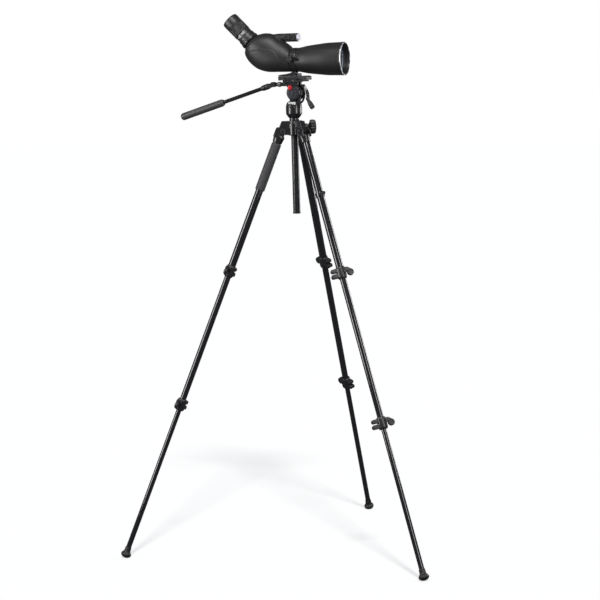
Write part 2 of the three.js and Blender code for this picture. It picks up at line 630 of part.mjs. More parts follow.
function addEyepiece() {
  const barrel = [
    [21.4, -16], [21.4, GAP], [29.4, GAP], [29.4, 9],
    [27.2, 11], [27.2, 22], [25.4, 24], [25.4, 38], [20, 38],
    [20, 84], [12.4, 84], [12.4, 74], [17, 70], [17, -16],
  ];
  piece(eye, "eyepiece_barrel", solid(turned(barrel, FINE, true)), "moulding");
  piece(eye, "zoom_ring", solid(sleeve(26.8, 20 + GAP, 38 + GAP, 70, FINE)), "rubber");
  const cup = [
    [20 + GAP, 70.6], [26.4, 70.6], [26.8, 74], [26.8, 93],
    [25, 98], [20, 98], [16, 92], [14, 85], [20 + GAP, 85],
  ];
  piece(eye, "eyecup", solid(turned(cup, FINE, true)), "rubber");
  piece(eye, "eye_lens", solid(turned([[0, 75], [12.1, 76], [12.1, 79], [0, 81.5]], MEDIUM)), "glass");
}

addHub();
addColumn();
addColumnKnob();
LEGS.forEach(addLeg);
addHeadBase();
addYoke();
addTiltHousing();
addPlate();
addLockLever();
addHandle();
addBody();
addBarrel();
addCollar();
addFocus();
addEyepiece();

// The origin is the middle of the ground that the whole set stands over.
assembly.updateMatrixWorld(true);
const reachBox = new THREE.Box3().setFromObject(assembly, true);
const middle = reachBox.getCenter(new THREE.Vector3());
assembly.position.set(-middle.x, -middle.y, -reachBox.min.z);

export default assembly;
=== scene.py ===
import json
import math
import bmesh
import bpy
from mathutils import Matrix, Vector


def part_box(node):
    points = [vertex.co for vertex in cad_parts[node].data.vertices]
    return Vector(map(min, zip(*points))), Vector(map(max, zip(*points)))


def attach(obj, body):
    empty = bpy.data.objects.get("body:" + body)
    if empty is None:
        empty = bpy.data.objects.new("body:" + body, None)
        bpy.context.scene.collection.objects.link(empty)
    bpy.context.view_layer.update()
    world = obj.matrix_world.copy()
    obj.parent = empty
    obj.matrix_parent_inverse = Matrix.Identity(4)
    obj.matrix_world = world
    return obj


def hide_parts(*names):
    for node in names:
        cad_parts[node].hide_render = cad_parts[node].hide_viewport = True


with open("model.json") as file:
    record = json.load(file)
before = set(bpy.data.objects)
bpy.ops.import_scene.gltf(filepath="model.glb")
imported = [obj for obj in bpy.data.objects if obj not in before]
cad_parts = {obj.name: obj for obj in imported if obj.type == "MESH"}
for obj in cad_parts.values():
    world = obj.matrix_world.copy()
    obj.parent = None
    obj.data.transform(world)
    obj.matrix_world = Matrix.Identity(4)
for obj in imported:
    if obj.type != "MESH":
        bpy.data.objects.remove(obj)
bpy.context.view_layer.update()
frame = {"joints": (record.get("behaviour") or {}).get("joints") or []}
scene = bpy.context.scene
joints = {j["name"]: j for j in frame["joints"]}


def pivot(joint):
    return Vector(joints[joint]["pos_m"])


def axis(joint):
    return Vector(joints[joint]["axis"]).normalized()


# ---- Camera ----
# The set is looked at from the front quarter, a little above eye level of the tripod's head,
# through a long lens that stands about six metres away.
column_low, column_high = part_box("column")
hub_low, hub_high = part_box("hub")
MM = 0.001
TRIPOD_X = (column_low.x + column_high.x) / 2
TRIPOD_Y = (column_low.y + column_high.y) / 2
VIEW_AZIMUTH = math.radians(20.2)
VIEW_PITCH = math.radians(6.727)
VIEW_ROLL = math.radians(-1.574)
VIEW_PLACE = Vector((2.1395, -5.8082, 1.5153))
LENS_LENGTH = 120.35
SENSOR_WIDTH = 36.0


def add_camera():
    turn = Matrix.Rotation(VIEW_AZIMUTH, 3, "Z")
    forward = turn @ Vector((0, math.cos(VIEW_PITCH), -math.sin(VIEW_PITCH)))
    right = turn @ Vector((1, 0, 0))
    up = right.cross(forward)
    across = right * math.cos(VIEW_ROLL) + up * math.sin(VIEW_ROLL)
    upright = up * math.cos(VIEW_ROLL) - right * math.sin(VIEW_ROLL)
    lens = bpy.data.cameras.new("camera")
    lens.lens = LENS_LENGTH
    lens.sensor_width = SENSOR_WIDTH
    lens.clip_end = 60
    camera = bpy.data.objects.new("camera", lens)
    scene.collection.objects.link(camera)
    basis = Matrix((across, upright, -forward)).transposed()
    place = Vector((TRIPOD_X, TRIPOD_Y, 0)) + VIEW_PLACE
    camera.matrix_world = Matrix.Translation(place) @ basis.to_4x4()
    scene.camera = camera


add_camera()


# ---- Floor and light ----
# A wide pale floor under a white surround. Two tall strips draw the long streaks down the tubes,
# a soft box above shapes the scope and a panel beside it lights the front lens. The lamps spare
# the floor, so only the high sun throws shadows on it.
def node_material(name):
    made = bpy.data.materials.new(name)
    made.use_nodes = True
    return made, made.node_tree.nodes, made.node_tree.links


FLOOR_HALF = 30
FLOOR_TONE = 0.95
FLOOR_GLOW = 0.665


def add_floor():
    surface, nodes, links = node_material("floor_paper")
    shader = nodes["Principled BSDF"]
    shader.inputs["Base Color"].default_value = (FLOOR_TONE, FLOOR_TONE, FLOOR_TONE, 1)
    shader.inputs["Roughness"].default_value = 0.9
    shader.inputs["Specular IOR Level"].default_value = 0.1
    fibre = nodes.new("ShaderNodeTexNoise")
    fibre.inputs["Scale"].default_value = 3
    tone = nodes.new("ShaderNodeMapRange")
    tone.inputs["To Min"].default_value = 0.995
    tone.inputs["To Max"].default_value = 1
    links.new(fibre.outputs["Fac"], tone.inputs["Value"])
    links.new(tone.outputs["Result"], shader.inputs["Emission Color"])
    shader.inputs["Emission Strength"].default_value = FLOOR_GLOW
    corners = [(-FLOOR_HALF, -FLOOR_HALF, 0), (FLOOR_HALF, -FLOOR_HALF, 0)]
    corners += [(FLOOR_HALF, FLOOR_HALF, 0), (-FLOOR_HALF, FLOOR_HALF, 0)]
    mesh = bpy.data.meshes.new("floor")
    mesh.from_pydata(corners, [], [(0, 1, 2, 3)])
    floor = bpy.data.objects.new("floor", mesh)
    mesh.materials.append(surface)
    scene.collection.objects.link(floor)
    floor.visible_diffuse = False
    floor.visible_glossy = False
    spared = bpy.data.collections.new("spared_by_lamps")
    spared.objects.link(floor)
    spared.collection_objects[0].light_linking.link_state = "EXCLUDE"
    return spared


def add_lamp(name, turn, height, distance, size, power, aim):
    """A soft rectangle that stands so many degrees to the right of the camera, aimed at a height."""
    azimuth = VIEW_AZIMUTH + math.radians(turn)
    middle = Vector((TRIPOD_X, TRIPOD_Y, 0))
    place = middle + Vector((math.sin(azimuth) * distance, -math.cos(azimuth) * distance, height))
    data = bpy.data.lights.new(name, "AREA")
    data.shape = "RECTANGLE"
    data.size, data.size_y = size
    data.energy = power
    lamp = bpy.data.objects.new(name, data)
    scene.collection.objects.link(lamp)
    toward = (middle + Vector((0, 0, aim)) - place).normalized()
    lamp.visible_camera = False
    lamp.light_linking.receiver_collection = lamps_spare
    turned = toward.to_track_quat("-Z", "Y").to_matrix().to_4x4()
    lamp.matrix_world = Matrix.Translation(place) @ turned


def add_surround():
    world = bpy.data.worlds.new("studio")
    scene.world = world
    world.use_nodes = True
    nodes, links = world.node_tree.nodes, world.node_tree.links
    seen = nodes["Background"]
    seen.inputs["Color"].default_value = (1, 1, 1, 1)
    seen.inputs["Strength"].default_value = 1.0
    fill = nodes.new("ShaderNodeBackground")
    fill.inputs["Color"].default_value = (0.9, 0.93, 1, 1)
    fill.inputs["Strength"].default_value = 0.14
    path = nodes.new("ShaderNodeLightPath")
    mix = nodes.new("ShaderNodeMixShader")
    links.new(path.outputs["Is Camera Ray"], mix.inputs["Fac"])
    links.new(fill.outputs["Background"], mix.inputs[1])
    links.new(seen.outputs["Background"], mix.inputs[2])
    links.new(mix.outputs["Shader"], nodes["World Output"].inputs["Surface"])


def add_sun():
    data = bpy.data.lights.new("high_sun", "SUN")
    data.energy = 1.0
    data.angle = math.radians(7)
    sun = bpy.data.objects.new("high_sun", data)
    scene.collection.objects.link(sun)
    sun.rotation_euler = (math.radians(44), 0, VIEW_AZIMUTH + math.radians(8))


lamps_spare = add_floor()
add_surround()
add_lamp("key_softbox", -15, 4.6, 2.6, (2.4, 1.8), 85, aim=1.5)
add_lamp("left_strip", -66, 1.6, 2.8, (0.75, 2.2), 66, aim=1.4)
add_lamp("right_strip", 36, 1.6, 3.0, (0.6, 2.0), 36, aim=1.4)
add_lamp("lens_panel", 115, 1.5, 2.8, (0.9, 1.6), 50, aim=1.5)
add_sun()
scene.view_settings.view_transform = "Standard"


# ---- Hub ----
# The die-cast shoulder that the three legs hinge on, enamelled gloss black. A round sleeve
# carries the centre column, and a boss at the side takes the column's clamp knob.
def eased(points, radius, closed=False, steps=4):
    """The outline with its corners rounded; a third number in a point is that corner's own radius."""
    out = []
    count = len(points)
    for i, point in enumerate(points):
        here = Vector(point[:2])
        own = point[2] if len(point) > 2 else radius
        if own == 0 or not (closed or 0 < i < count - 1):
            out.append(here)
            continue
        before = Vector(points[i - 1][:2]) - here
        after = Vector(points[(i + 1) % count][:2]) - here
        a = here + before.normalized() * min(own, 0.45 * before.length)
        b = here + after.normalized() * min(own, 0.45 * after.length)
        for k in range(steps + 1):
            t = k / steps
            out.append(a * (1 - t) ** 2 + here * 2 * t * (1 - t) + b * t * t)
    return out


def lathe(profile, segments=72, radius=0.5, ring=False):
    """A profile of (radius, height) in millimetres turned about Z; a ring's closes on itself."""
    bm = bmesh.new()
    rows = []
    for r, z in eased(profile, radius, closed=ring):
        if r < 1e-6:
            rows.append([bm.verts.new((0, 0, z))])
            continue
        angles = [2 * math.pi * k / segments for k in range(segments)]
        rows.append([bm.verts.new((r * math.cos(a), r * math.sin(a), z)) for a in angles])
    pairs = list(zip(rows, rows[1:])) + ([(rows[-1], rows[0])] if ring else [])
    for low, high in pairs:
        for k in range(segments):
            below = [low[k % len(low)], low[(k + 1) % len(low)]]
            above = [high[(k + 1) % len(high)], high[k % len(high)]]
            corners = list(dict.fromkeys(below + above))
            if len(corners) > 2:
                bm.faces.new(corners)
    bmesh.ops.recalc_face_normals(bm, faces=bm.faces)
    return bm


def slab(outline, low, high, radius=0.0, bevel=0.0):
    """An outline in the XZ plane, in millimetres, thickened from low to high along Y."""
    bm = bmesh.new()
    face = bm.faces.new([bm.verts.new((x, low, z)) for x, z in eased(outline, radius, closed=True)])
    made = bmesh.ops.extrude_face_region(bm, geom=[face])
    grown = [v for v in made["geom"] if isinstance(v, bmesh.types.BMVert)]
    bmesh.ops.translate(bm, verts=grown, vec=(0, high - low, 0))
    bmesh.ops.recalc_face_normals(bm, faces=bm.faces)
    if bevel:
        rims = [e for e in bm.edges if abs(e.verts[0].co.y - e.verts[1].co.y) < 1e-6]
        bmesh.ops.bevel(bm, geom=rims, offset=bevel, segments=3, profile=0.5, affect="EDGES")
    return bm


def block(x, y, z, radius=0.0, bevel=0.0):
    return slab([(x[0], z[0]), (x[1], z[0]), (x[1], z[1]), (x[0], z[1])], y[0], y[1], radius, bevel)


def rod(radius, low, high, segments=48):
    return lathe([(0, low), (radius, low), (radius, high), (0, high)], segments, radius=0.4)


ALONG_X = Matrix.Rotation(math.pi / 2, 4, "Y")
ALONG_Y = Matrix.Rotation(-math.pi / 2, 4, "X")
HALF_TURN = Matrix.Rotation(math.pi, 4, "Z")


def put(bm, *matrices, at=(0, 0, 0)):
    """Turns a solid by each matrix in order, then moves it."""
    for matrix in matrices:
        bmesh.ops.transform(bm, matrix=matrix, verts=bm.verts)
    bmesh.ops.translate(bm, verts=bm.verts, vec=at)
    return bm


def joined(*solids):
    out = bmesh.new()
    for bm in solids:
        step = bpy.data.meshes.new("step")
        bm.to_mesh(step)
        out.from_mesh(step)
        bpy.data.meshes.remove(step)
        bm.free()
    return out


def loose_object(bm, name="step"):
    mesh = bpy.data.meshes.new(name)
    bm.to_mesh(mesh)
    bm.free()
    made = bpy.data.objects.new(name, mesh)
    scene.collection.objects.link(made)
    return made


def baked(shape, *spares):
    """The object with its modifiers applied, as a bmesh; it and the spare objects are removed."""
    shot = shape.evaluated_get(bpy.context.evaluated_depsgraph_get())
    mesh = bpy.data.meshes.new_from_object(shot)
    out = bmesh.new()
    out.from_mesh(mesh)
    bpy.data.meshes.remove(mesh)
    for spare in (shape, *spares):
        bpy.data.objects.remove(spare)
    return out


def cast(solids, cuts=(), voxel=0.8, soften=5):
    """Overlapping solids run into one casting with softened corners, less the cuts."""
    shape = loose_object(joined(*solids))
    spares = []
    if cuts:
        spares = [loose_object(joined(*cuts))]
        hole = shape.modifiers.new("holes", "BOOLEAN")
        hole.object = spares[0]
        hole.operation = "DIFFERENCE"
        hole.solver = "EXACT"
        hole.use_self = True
    skin = shape.modifiers.new("skin", "REMESH")
    skin.mode = "VOXEL"
    skin.voxel_size = voxel
    ease = shape.modifiers.new("ease", "SMOOTH")
    ease.factor = 0.5
    ease.iterations = soften
    return baked(shape, *spares)


def seat(origin, z_axis=(0, 0, 1), y_axis=(0, 1, 0)):
    """The frame that takes a piece's own millimetres to its place on the object."""
    z, y = Vector(z_axis).normalized(), Vector(y_axis).normalized()
    x = y.cross(z)
    turn = Matrix((x, y, z)).transposed().to_4x4()
    return Matrix.Translation(Vector(origin)) @ turn @ Matrix.Scale(MM, 4)


def piece(name, bm, place, material, body, slot, *nodes, flat_edges=40):
    """Finishes a solid as a piece of the object that rides on a body and stands for CAD nodes."""
    bm.transform(place)
    mesh = bpy.data.meshes.new(name)
    bm.to_mesh(mesh)
    bm.free()
    mesh.materials.append(material)
    mesh.shade_smooth()
    mesh.set_sharp_from_angle(angle=math.radians(flat_edges))
    made = bpy.data.objects.new(name, mesh)
    scene.collection.objects.link(made)
    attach(made, body)
    if nodes:
        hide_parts(*nodes)
    return made


def shader_group(name, inputs, outputs):
    tree = bpy.data.node_groups.new(name, "ShaderNodeTree")
    for label, value in inputs:
        tree.interface.new_socket(label, in_out="INPUT", socket_type="NodeSocketFloat").default_value = value
    for label in outputs:
        tree.interface.new_socket(label, in_out="OUTPUT", socket_type="NodeSocketFloat")
    return tree, tree.nodes.new("NodeGroupInput"), tree.nodes.new("NodeGroupOutput")


def number_node(tree, operation, a, b=None, clamp=False):
    made = tree.nodes.new("ShaderNodeMath")
    made.operation = operation
    made.use_clamp = clamp
    for socket, value in zip(made.inputs, (a, b)):
        if isinstance(value, (int, float)):
            socket.default_value = value
        elif value is not None:
            tree.links.new(value, socket)
    return made.outputs[0]


def noise_node(tree, scale, detail=3.0, roughness=0.55):
    place = tree.nodes.new("ShaderNodeTexCoord")
    made = tree.nodes.new("ShaderNodeTexNoise")
    made.inputs["Detail"].default_value = detail
    made.inputs["Roughness"].default_value = roughness
    tree.links.new(place.outputs["Object"], made.inputs["Vector"])
    if isinstance(scale, (int, float)):
        made.inputs["Scale"].default_value = scale
    else:
        tree.links.new(scale, made.inputs["Scale"])
    return made.outputs["Fac"]


def grain_group():
    """The fine bite of a moulded or sprayed surface: a height, and a slow drift in its tone."""
    tree, given, out = shader_group("surface_grain", [("Scale", 900)], ["Height", "Tone"])
    fine = noise_node(tree, given.outputs["Scale"], detail=2)
    slow = noise_node(tree, 14, detail=4)
    tree.links.new(fine, out.inputs["Height"])
    tree.links.new(slow, out.inputs["Tone"])
    return tree


def wear_group():
    """Where handling has rubbed the corners: raised edges, broken up by a rough pattern."""
    tree, given, out = shader_group("edge_wear", [("Reach", 0.06), ("Breakup", 60)], ["Mask"])
    geometry = tree.nodes.new("ShaderNodeNewGeometry")
    edge = number_node(tree, "SUBTRACT", geometry.outputs["Pointiness"], 0.53)
    edge = number_node(tree, "DIVIDE", edge, given.outputs["Reach"], clamp=True)
    rough = noise_node(tree, given.outputs["Breakup"], detail=5, roughness=0.7)
    rough = number_node(tree, "MULTIPLY_ADD", rough, 2.4)
    rough.node.inputs[2].default_value = -0.7
    mask = number_node(tree, "MULTIPLY", edge, rough, clamp=True)
    tree.links.new(mask, out.inputs["Mask"])
    return tree


def dust_group():
    """A thin film of dust that settles on what faces up."""
    tree, given, out = shader_group("settled_dust", [("Amount", 0.1)], ["Mask"])
    geometry = tree.nodes.new("ShaderNodeNewGeometry")
    apart = tree.nodes.new("ShaderNodeSeparateXYZ")
    tree.links.new(geometry.outputs["Normal"], apart.inputs["Vector"])
    up = number_node(tree, "MULTIPLY", apart.outputs["Z"], given.outputs["Amount"], clamp=True)
    patchy = noise_node(tree, 45, detail=5, roughness=0.7)
    mask = number_node(tree, "MULTIPLY", up, patchy, clamp=True)
    tree.links.new(mask, out.inputs["Mask"])
    return tree


GRAIN, WEAR, DUST = grain_group(), wear_group(), dust_group()
DUST_TONE = (0.34, 0.33, 0.31, 1)


def mixed(nodes, links, factor, low, high):
    """A colour between two others; each is a socket or a fixed colour."""
    made = nodes.new("ShaderNodeMix")
    made.data_type = "RGBA"
    links.new(factor, made.inputs["Factor"])
    for socket, value in ((made.inputs[6], low), (made.inputs[7], high)):
        if isinstance(value, tuple):
            socket.default_value = value
        else:
            links.new(value, socket)
    return made.outputs[2]


def finish(
    name, colour, roughness, metallic=0.0, coat=0.0, specular=0.5,
    grain=900, depth=0.02, drift=0.25, worn=(0.2, 0.2, 0.2), wear=0.3, dust=0.08, spread=0.08,
):
    """A surface with grain, a drifting tone, rubbed corners and a film of dust."""
    made, nodes, links = node_material(name)
    shader = nodes["Principled BSDF"]
    grained = nodes.new("ShaderNodeGroup")
    grained.node_tree = GRAIN
    grained.inputs["Scale"].default_value = grain
    rubbed = nodes.new("ShaderNodeGroup")
    rubbed.node_tree = WEAR
    dusty = nodes.new("ShaderNodeGroup")
    dusty.node_tree = DUST
    dusty.inputs["Amount"].default_value = dust
    dark = tuple(c * (1 - drift) for c in colour) + (1,)
    light = tuple(min(1.0, c * (1 + drift)) for c in colour) + (1,)
    tone = mixed(nodes, links, grained.outputs["Tone"], dark, light)
    share = number_node(made.node_tree, "MULTIPLY", rubbed.outputs["Mask"], wear)
    tone = mixed(nodes, links, share, tone, tuple(worn) + (1,))
    tone = mixed(nodes, links, dusty.outputs["Mask"], tone, DUST_TONE)
    links.new(tone, shader.inputs["Base Color"])
    rough = nodes.new("ShaderNodeMapRange")
    rough.inputs["To Min"].default_value = max(0.02, roughness - spread)
    rough.inputs["To Max"].default_value = min(1.0, roughness + spread)
    links.new(grained.outputs["Tone"], rough.inputs["Value"])
    links.new(rough.outputs["Result"], shader.inputs["Roughness"])
    shader.inputs["Metallic"].default_value = metallic
    shader.inputs["Specular IOR Level"].default_value = specular
    shader.inputs["Coat Weight"].default_value = coat
    shader.inputs["Coat Roughness"].default_value = 0.08
    bump = nodes.new("ShaderNodeBump")
    bump.inputs["Strength"].default_value = min(1, depth * 10)
    bump.inputs["Distance"].default_value = 0.00004
    links.new(grained.outputs["Height"], bump.inputs["Height"])
    links.new(bump.outputs["Normal"], shader.inputs["Normal"])
    return made


enamel = finish(
    "black_enamel", (0.009, 0.009, 0.01), 0.27, coat=0.2, grain=1400, depth=0.004,
    worn=(0.08, 0.08, 0.085), wear=0.25, dust=0.015,
)

COLUMN_RADIUS = 11.1
HUB_RADIUS = 19.5
TONGUE_HALF = 10
TONGUE_RADIUS = 11
BOLT_HOLE = 4.3
KNOB_DOWN = 20
SIDES = ["left", "front", "rear"]
SLOT_CASTING = "casting"
hub_top = hub_high.z / MM
hub_bottom = hub_low.z / MM
hub_place = seat((TRIPOD_X, TRIPOD_Y, 0))
hinge_z = pivot("left_leg_spread").z / MM


def flat_direction(joint):
    """The way out from the column to a joint, level."""
    out = pivot(joint) - Vector((TRIPOD_X, TRIPOD_Y, 0))
    return math.atan2(out.y, out.x), math.hypot(out.x, out.y) / MM


def hub_solid():
    rise = hub_top - hinge_z
    solids = [
        lathe(
            [(0, hub_bottom), (HUB_RADIUS - 1, hub_bottom), (HUB_RADIUS, hub_bottom + 3),
             (HUB_RADIUS, hub_top - 7), (HUB_RADIUS - 2.5, hub_top - 6), (HUB_RADIUS - 2.5, hub_top),
             (0, hub_top)],
            radius=1,
        )
    ]
    cuts = [rod(COLUMN_RADIUS + 0.4, hub_bottom - 5, hub_top + 5)]
    for side in SIDES:
        azimuth, reach = flat_direction(side + "_leg_spread")
        turn = Matrix.Rotation(azimuth, 4, "Z")
        outline = [
            (12, -TONGUE_RADIUS), (reach, -TONGUE_RADIUS, 0), (reach + 8, 3 - TONGUE_RADIUS, 3),
            (reach + TONGUE_RADIUS, 0, 3), (reach + 3, rise - 14, 4), (reach - 3, rise, 2.5), (12, rise),
        ]
        solids.append(put(slab(outline, -TONGUE_HALF, TONGUE_HALF), turn, at=(0, 0, hinge_z)))
        bolt_hole = put(rod(BOLT_HOLE, -40, 40), ALONG_Y, at=(reach, 0, hinge_z))
        cuts.append(put(bolt_hole, turn))
    knob_azimuth = math.atan2(axis("column_knob_turn").y, axis("column_knob_turn").x)
    knob_turn = Matrix.Rotation(knob_azimuth, 4, "Z")
    boss = put(rod(11, COLUMN_RADIUS + 2, 40), ALONG_X, knob_turn, at=(0, 0, hub_top - KNOB_DOWN))
    solids.append(boss)
    cuts.append(put(rod(4.4, 4, 60), ALONG_X, knob_turn, at=(0, 0, hub_top - KNOB_DOWN)))
    return cast(solids, cuts, voxel=0.85)


piece("hub_casting", hub_solid(), hub_place, enamel, "hub", SLOT_CASTING, "hub")


# ---- Centre column ----
# A straight aluminium tube that slides in the hub and lifts the head, anodised a soft
# grey-black, with a moulded plug pressed into its lower end.
column_anodise = finish(
    "column_anodise", (0.02, 0.02, 0.022), 0.3, metallic=0.35, grain=2200, depth=0.006, wear=0.1, dust=0.02,
)
nylon = finish(
    "black_nylon", (0.012, 0.012, 0.013), 0.33, grain=1500, depth=0.025,
    worn=(0.06, 0.06, 0.06), wear=0.25, dust=0.02,
)
TUBE_WALL = 1.2
column_foot = column_low.z / MM
column_head = column_high.z / MM
column_tube = lathe(
    [(COLUMN_RADIUS, column_foot), (COLUMN_RADIUS, column_head),
     (COLUMN_RADIUS - TUBE_WALL, column_head), (COLUMN_RADIUS - TUBE_WALL, column_foot)],
    segments=80, radius=0.3, ring=True,
)
piece("centre_column", column_tube, hub_place, column_anodise, "column", "tube", "column")
plug = lathe(
    [(0, column_foot - 4), (10.6, column_foot - 4), (12.6, column_foot - 2.6), (12.6, column_foot - 0.3),
     (9.4, column_foot - 0.3), (9.4, column_foot + 15), (0, column_foot + 15)],
)
piece("column_end_plug", plug, hub_place, nylon, "column", "moulding", "column_plug")


# ---- Column clamp knob ----
# A round moulded knob with deep finger flutes. Its steel stud passes through the hub's boss
# and presses a shoe against the column.
def geometry_tree(name, inputs):
    """An empty geometry tree with named inputs, each of the kind that its name calls for."""
    tree = bpy.data.node_groups.new(name, "GeometryNodeTree")
    kinds = {"Geometry": "NodeSocketGeometry", "Finish": "NodeSocketMaterial", "Copy": "NodeSocketObject"}
    for label in inputs:
        kind = kinds.get(label, "NodeSocketInt" if label == "Count" else "NodeSocketFloat")
        tree.interface.new_socket(label, in_out="INPUT", socket_type=kind)
    tree.interface.new_socket("Geometry", in_out="OUTPUT", socket_type="NodeSocketGeometry")
    return tree


def finish_tree(tree, geometry, material):
    """Realizes what the tree made and gives it its finish."""
    whole = tree.nodes.new("GeometryNodeRealizeInstances")
    coat = tree.nodes.new("GeometryNodeSetMaterial")
    out = tree.nodes.new("NodeGroupOutput")
    tree.links.new(geometry, whole.inputs["Geometry"])
    tree.links.new(whole.outputs["Geometry"], coat.inputs["Geometry"])
    tree.links.new(material, coat.inputs["Material"])
    tree.links.new(coat.outputs["Geometry"], out.inputs["Geometry"])


def run_tree(bm, tree, values):
    """Applies a geometry tree to a solid, with its inputs set by name, and gives the result."""
    shape = loose_object(bm)
    modifier = shape.modifiers.new(tree.name, "NODES")
    modifier.node_group = tree
    sockets = {s.name: s.identifier for s in tree.interface.items_tree if s.in_out == "INPUT"}
    for label, value in values.items():
        modifier[sockets[label]] = value
    return baked(shape)


def flute_tree():
    """Presses grooves along a turned grip: Count of them, Depth deep, between two heights."""
    tree = geometry_tree("flutes", ["Geometry", "Count", "Depth", "From", "To", "Inside", "Finish"])
    given = tree.nodes.new("NodeGroupInput").outputs
    spot = tree.nodes.new("GeometryNodeInputPosition").outputs[0]
    apart = tree.nodes.new("ShaderNodeSeparateXYZ")
    tree.links.new(spot, apart.inputs[0])
    x, y, z = apart.outputs
    angle = number_node(tree, "MULTIPLY", number_node(tree, "ARCTAN2", y, x), given["Count"])
    wave = number_node(tree, "MULTIPLY_ADD", number_node(tree, "COSINE", angle), 0.5)
    wave.node.inputs[2].default_value = 0.5
    groove = number_node(tree, "POWER", wave, 1.6)
    above = number_node(tree, "SUBTRACT", z, given["From"], clamp=True)
    below = number_node(tree, "SUBTRACT", given["To"], z, clamp=True)
    radius = number_node(tree, "SQRT", number_node(
        tree, "ADD", number_node(tree, "MULTIPLY", x, x), number_node(tree, "MULTIPLY", y, y)))
    outside = number_node(tree, "SUBTRACT", radius, given["Inside"], clamp=True)
    zone = number_node(tree, "MULTIPLY", number_node(tree, "MULTIPLY", above, below), outside)
    press = number_node(tree, "MULTIPLY", number_node(tree, "MULTIPLY", groove, zone), given["Depth"])
    inward = number_node(tree, "DIVIDE", press, number_node(tree, "MAXIMUM", radius, 0.01))
    inward = number_node(tree, "MULTIPLY", inward, -1.0)
    offset = tree.nodes.new("ShaderNodeCombineXYZ")
    tree.links.new(number_node(tree, "MULTIPLY", x, inward), offset.inputs[0])
    tree.links.new(number_node(tree, "MULTIPLY", y, inward), offset.inputs[1])
    shift = tree.nodes.new("GeometryNodeSetPosition")
    tree.links.new(given["Geometry"], shift.inputs["Geometry"])
    tree.links.new(offset.outputs[0], shift.inputs["Offset"])
    finish_tree(tree, shift.outputs["Geometry"], given["Finish"])
    return tree


FLUTES = flute_tree()


def fluted(profile, count, depth, low, high, inside, material, ring=False, radius=0.5):
    """A turned grip with grooves pressed along it between two heights, outside a radius."""
    fine = []
    for (r0, z0, *_), (r1, z1, *_) in zip(profile, profile[1:] + profile[:1]):
        fine.append((r0, z0))
        steps = int(abs(z1 - z0) // 1.5)
        fine += [(r0 + (r1 - r0) * k / steps, z0 + (z1 - z0) * k / steps, 0) for k in range(1, steps)]
    if not ring:
        fine = fine[: fine.index(tuple(profile[-1][:2])) + 1]
    values = {"Count": count, "Depth": depth, "From": low, "To": high, "Inside": inside, "Finish": material}
    return run_tree(lathe(fine, segments=count * 8, radius=radius, ring=ring), FLUTES, values)


knob_place = seat((TRIPOD_X, TRIPOD_Y, (hub_top - KNOB_DOWN) * MM), axis("column_knob_turn"), (0, 0, 1))
knob_profile = [
    (0, 12), (4, 12), (4, 42), (9, 42), (12, 46), (20.5, 48), (22, 50), (22, 61), (19, 65), (12, 66.5),
    (0, 66.5),
]
column_knob = fluted(knob_profile, 14, 2.6, 47, 66, 13, nylon)
piece("column_clamp_knob", column_knob, knob_place, nylon, "column_knob", "moulding", "column_knob")


# ---- Leg castings and hinge bolts ----
# Each leg starts in a die-cast socket with two cheeks that straddle the hub's tongue.
# A steel bolt with a socket head runs through the cheeks and is the leg's hinge.
leg_places, clamp_places = {}, {}
for side in SIDES:
    up = -axis(side + "_middle_slide")
    leg_places[side] = seat(pivot(side + "_leg_spread"), up, -axis(side + "_leg_spread"))
    clamp_places[side] = seat(pivot(side + "_leg_spread"), up, -axis(side + "_upper_lever_flip"))

CASTING_LENGTH = 39
CHEEK_INNER, CHEEK_OUTER = TONGUE_HALF + 0.3, TONGUE_HALF + 5.8
UPPER_RADIUS, MIDDLE_RADIUS, LOWER_RADIUS = 11.75, 9.85, 8.0


def casting_solid():
    socket = lathe(
        [(0, -CASTING_LENGTH), (13.6, -CASTING_LENGTH), (14.6, -CASTING_LENGTH + 3), (17.2, -18),
         (16.5, -13.5), (0, -13.5)],
        radius=1.5,
    )
    outline = [(-13, -22), (-11, 0), (-9, 9, 5), (0, 11, 5), (14, 9.5, 3), (17, 4, 3), (17, -22)]
    cheeks = [slab(outline, CHEEK_INNER, CHEEK_OUTER), slab(outline, -CHEEK_OUTER, -CHEEK_INNER)]
    cuts = [
        rod(UPPER_RADIUS + 0.3, -CASTING_LENGTH - 5, -18),
        put(rod(BOLT_HOLE, -30, 30), ALONG_Y),
        block((-30, 30), (-CHEEK_INNER, CHEEK_INNER), (-13.2, 30)),
    ]
    return cast([socket, *cheeks], cuts, voxel=0.7)


def bolt_solid():
    head = [
        (0, CHEEK_OUTER - 1), (2.6, CHEEK_OUTER - 1), (2.6, CHEEK_OUTER + 3, 0.2), (5.8, CHEEK_OUTER + 3),
        (6.5, CHEEK_OUTER + 2.2), (6.5, CHEEK_OUTER + 0.3), (4, CHEEK_OUTER + 0.3), (4, 0),
    ]
    tail = [(r, -z) for r, z, *_ in reversed(head[3:])]
    return put(lathe(head + tail + [(0, -CHEEK_OUTER - 3)], segments=36, radius=0.3), ALONG_Y)


black_steel = finish(
    "black_steel", (0.05, 0.05, 0.055), 0.34, metallic=0.8, grain=1600, depth=0.008, worn=(0.3, 0.3, 0.32),
    wear=0.3, dust=0.02,
)
casting_shape, bolt_shape = casting_solid(), bolt_solid()
for side in SIDES:
    piece(
        side + "_leg_socket", casting_shape.copy(), leg_places[side], enamel,
        side + "_leg", SLOT_CASTING, side + "_casting",
    )
    piece(
        side + "_hinge_pin", bolt_shape.copy(), leg_places[side], black_steel,
        "hub", "steel", side + "_hinge_bolt",
    )


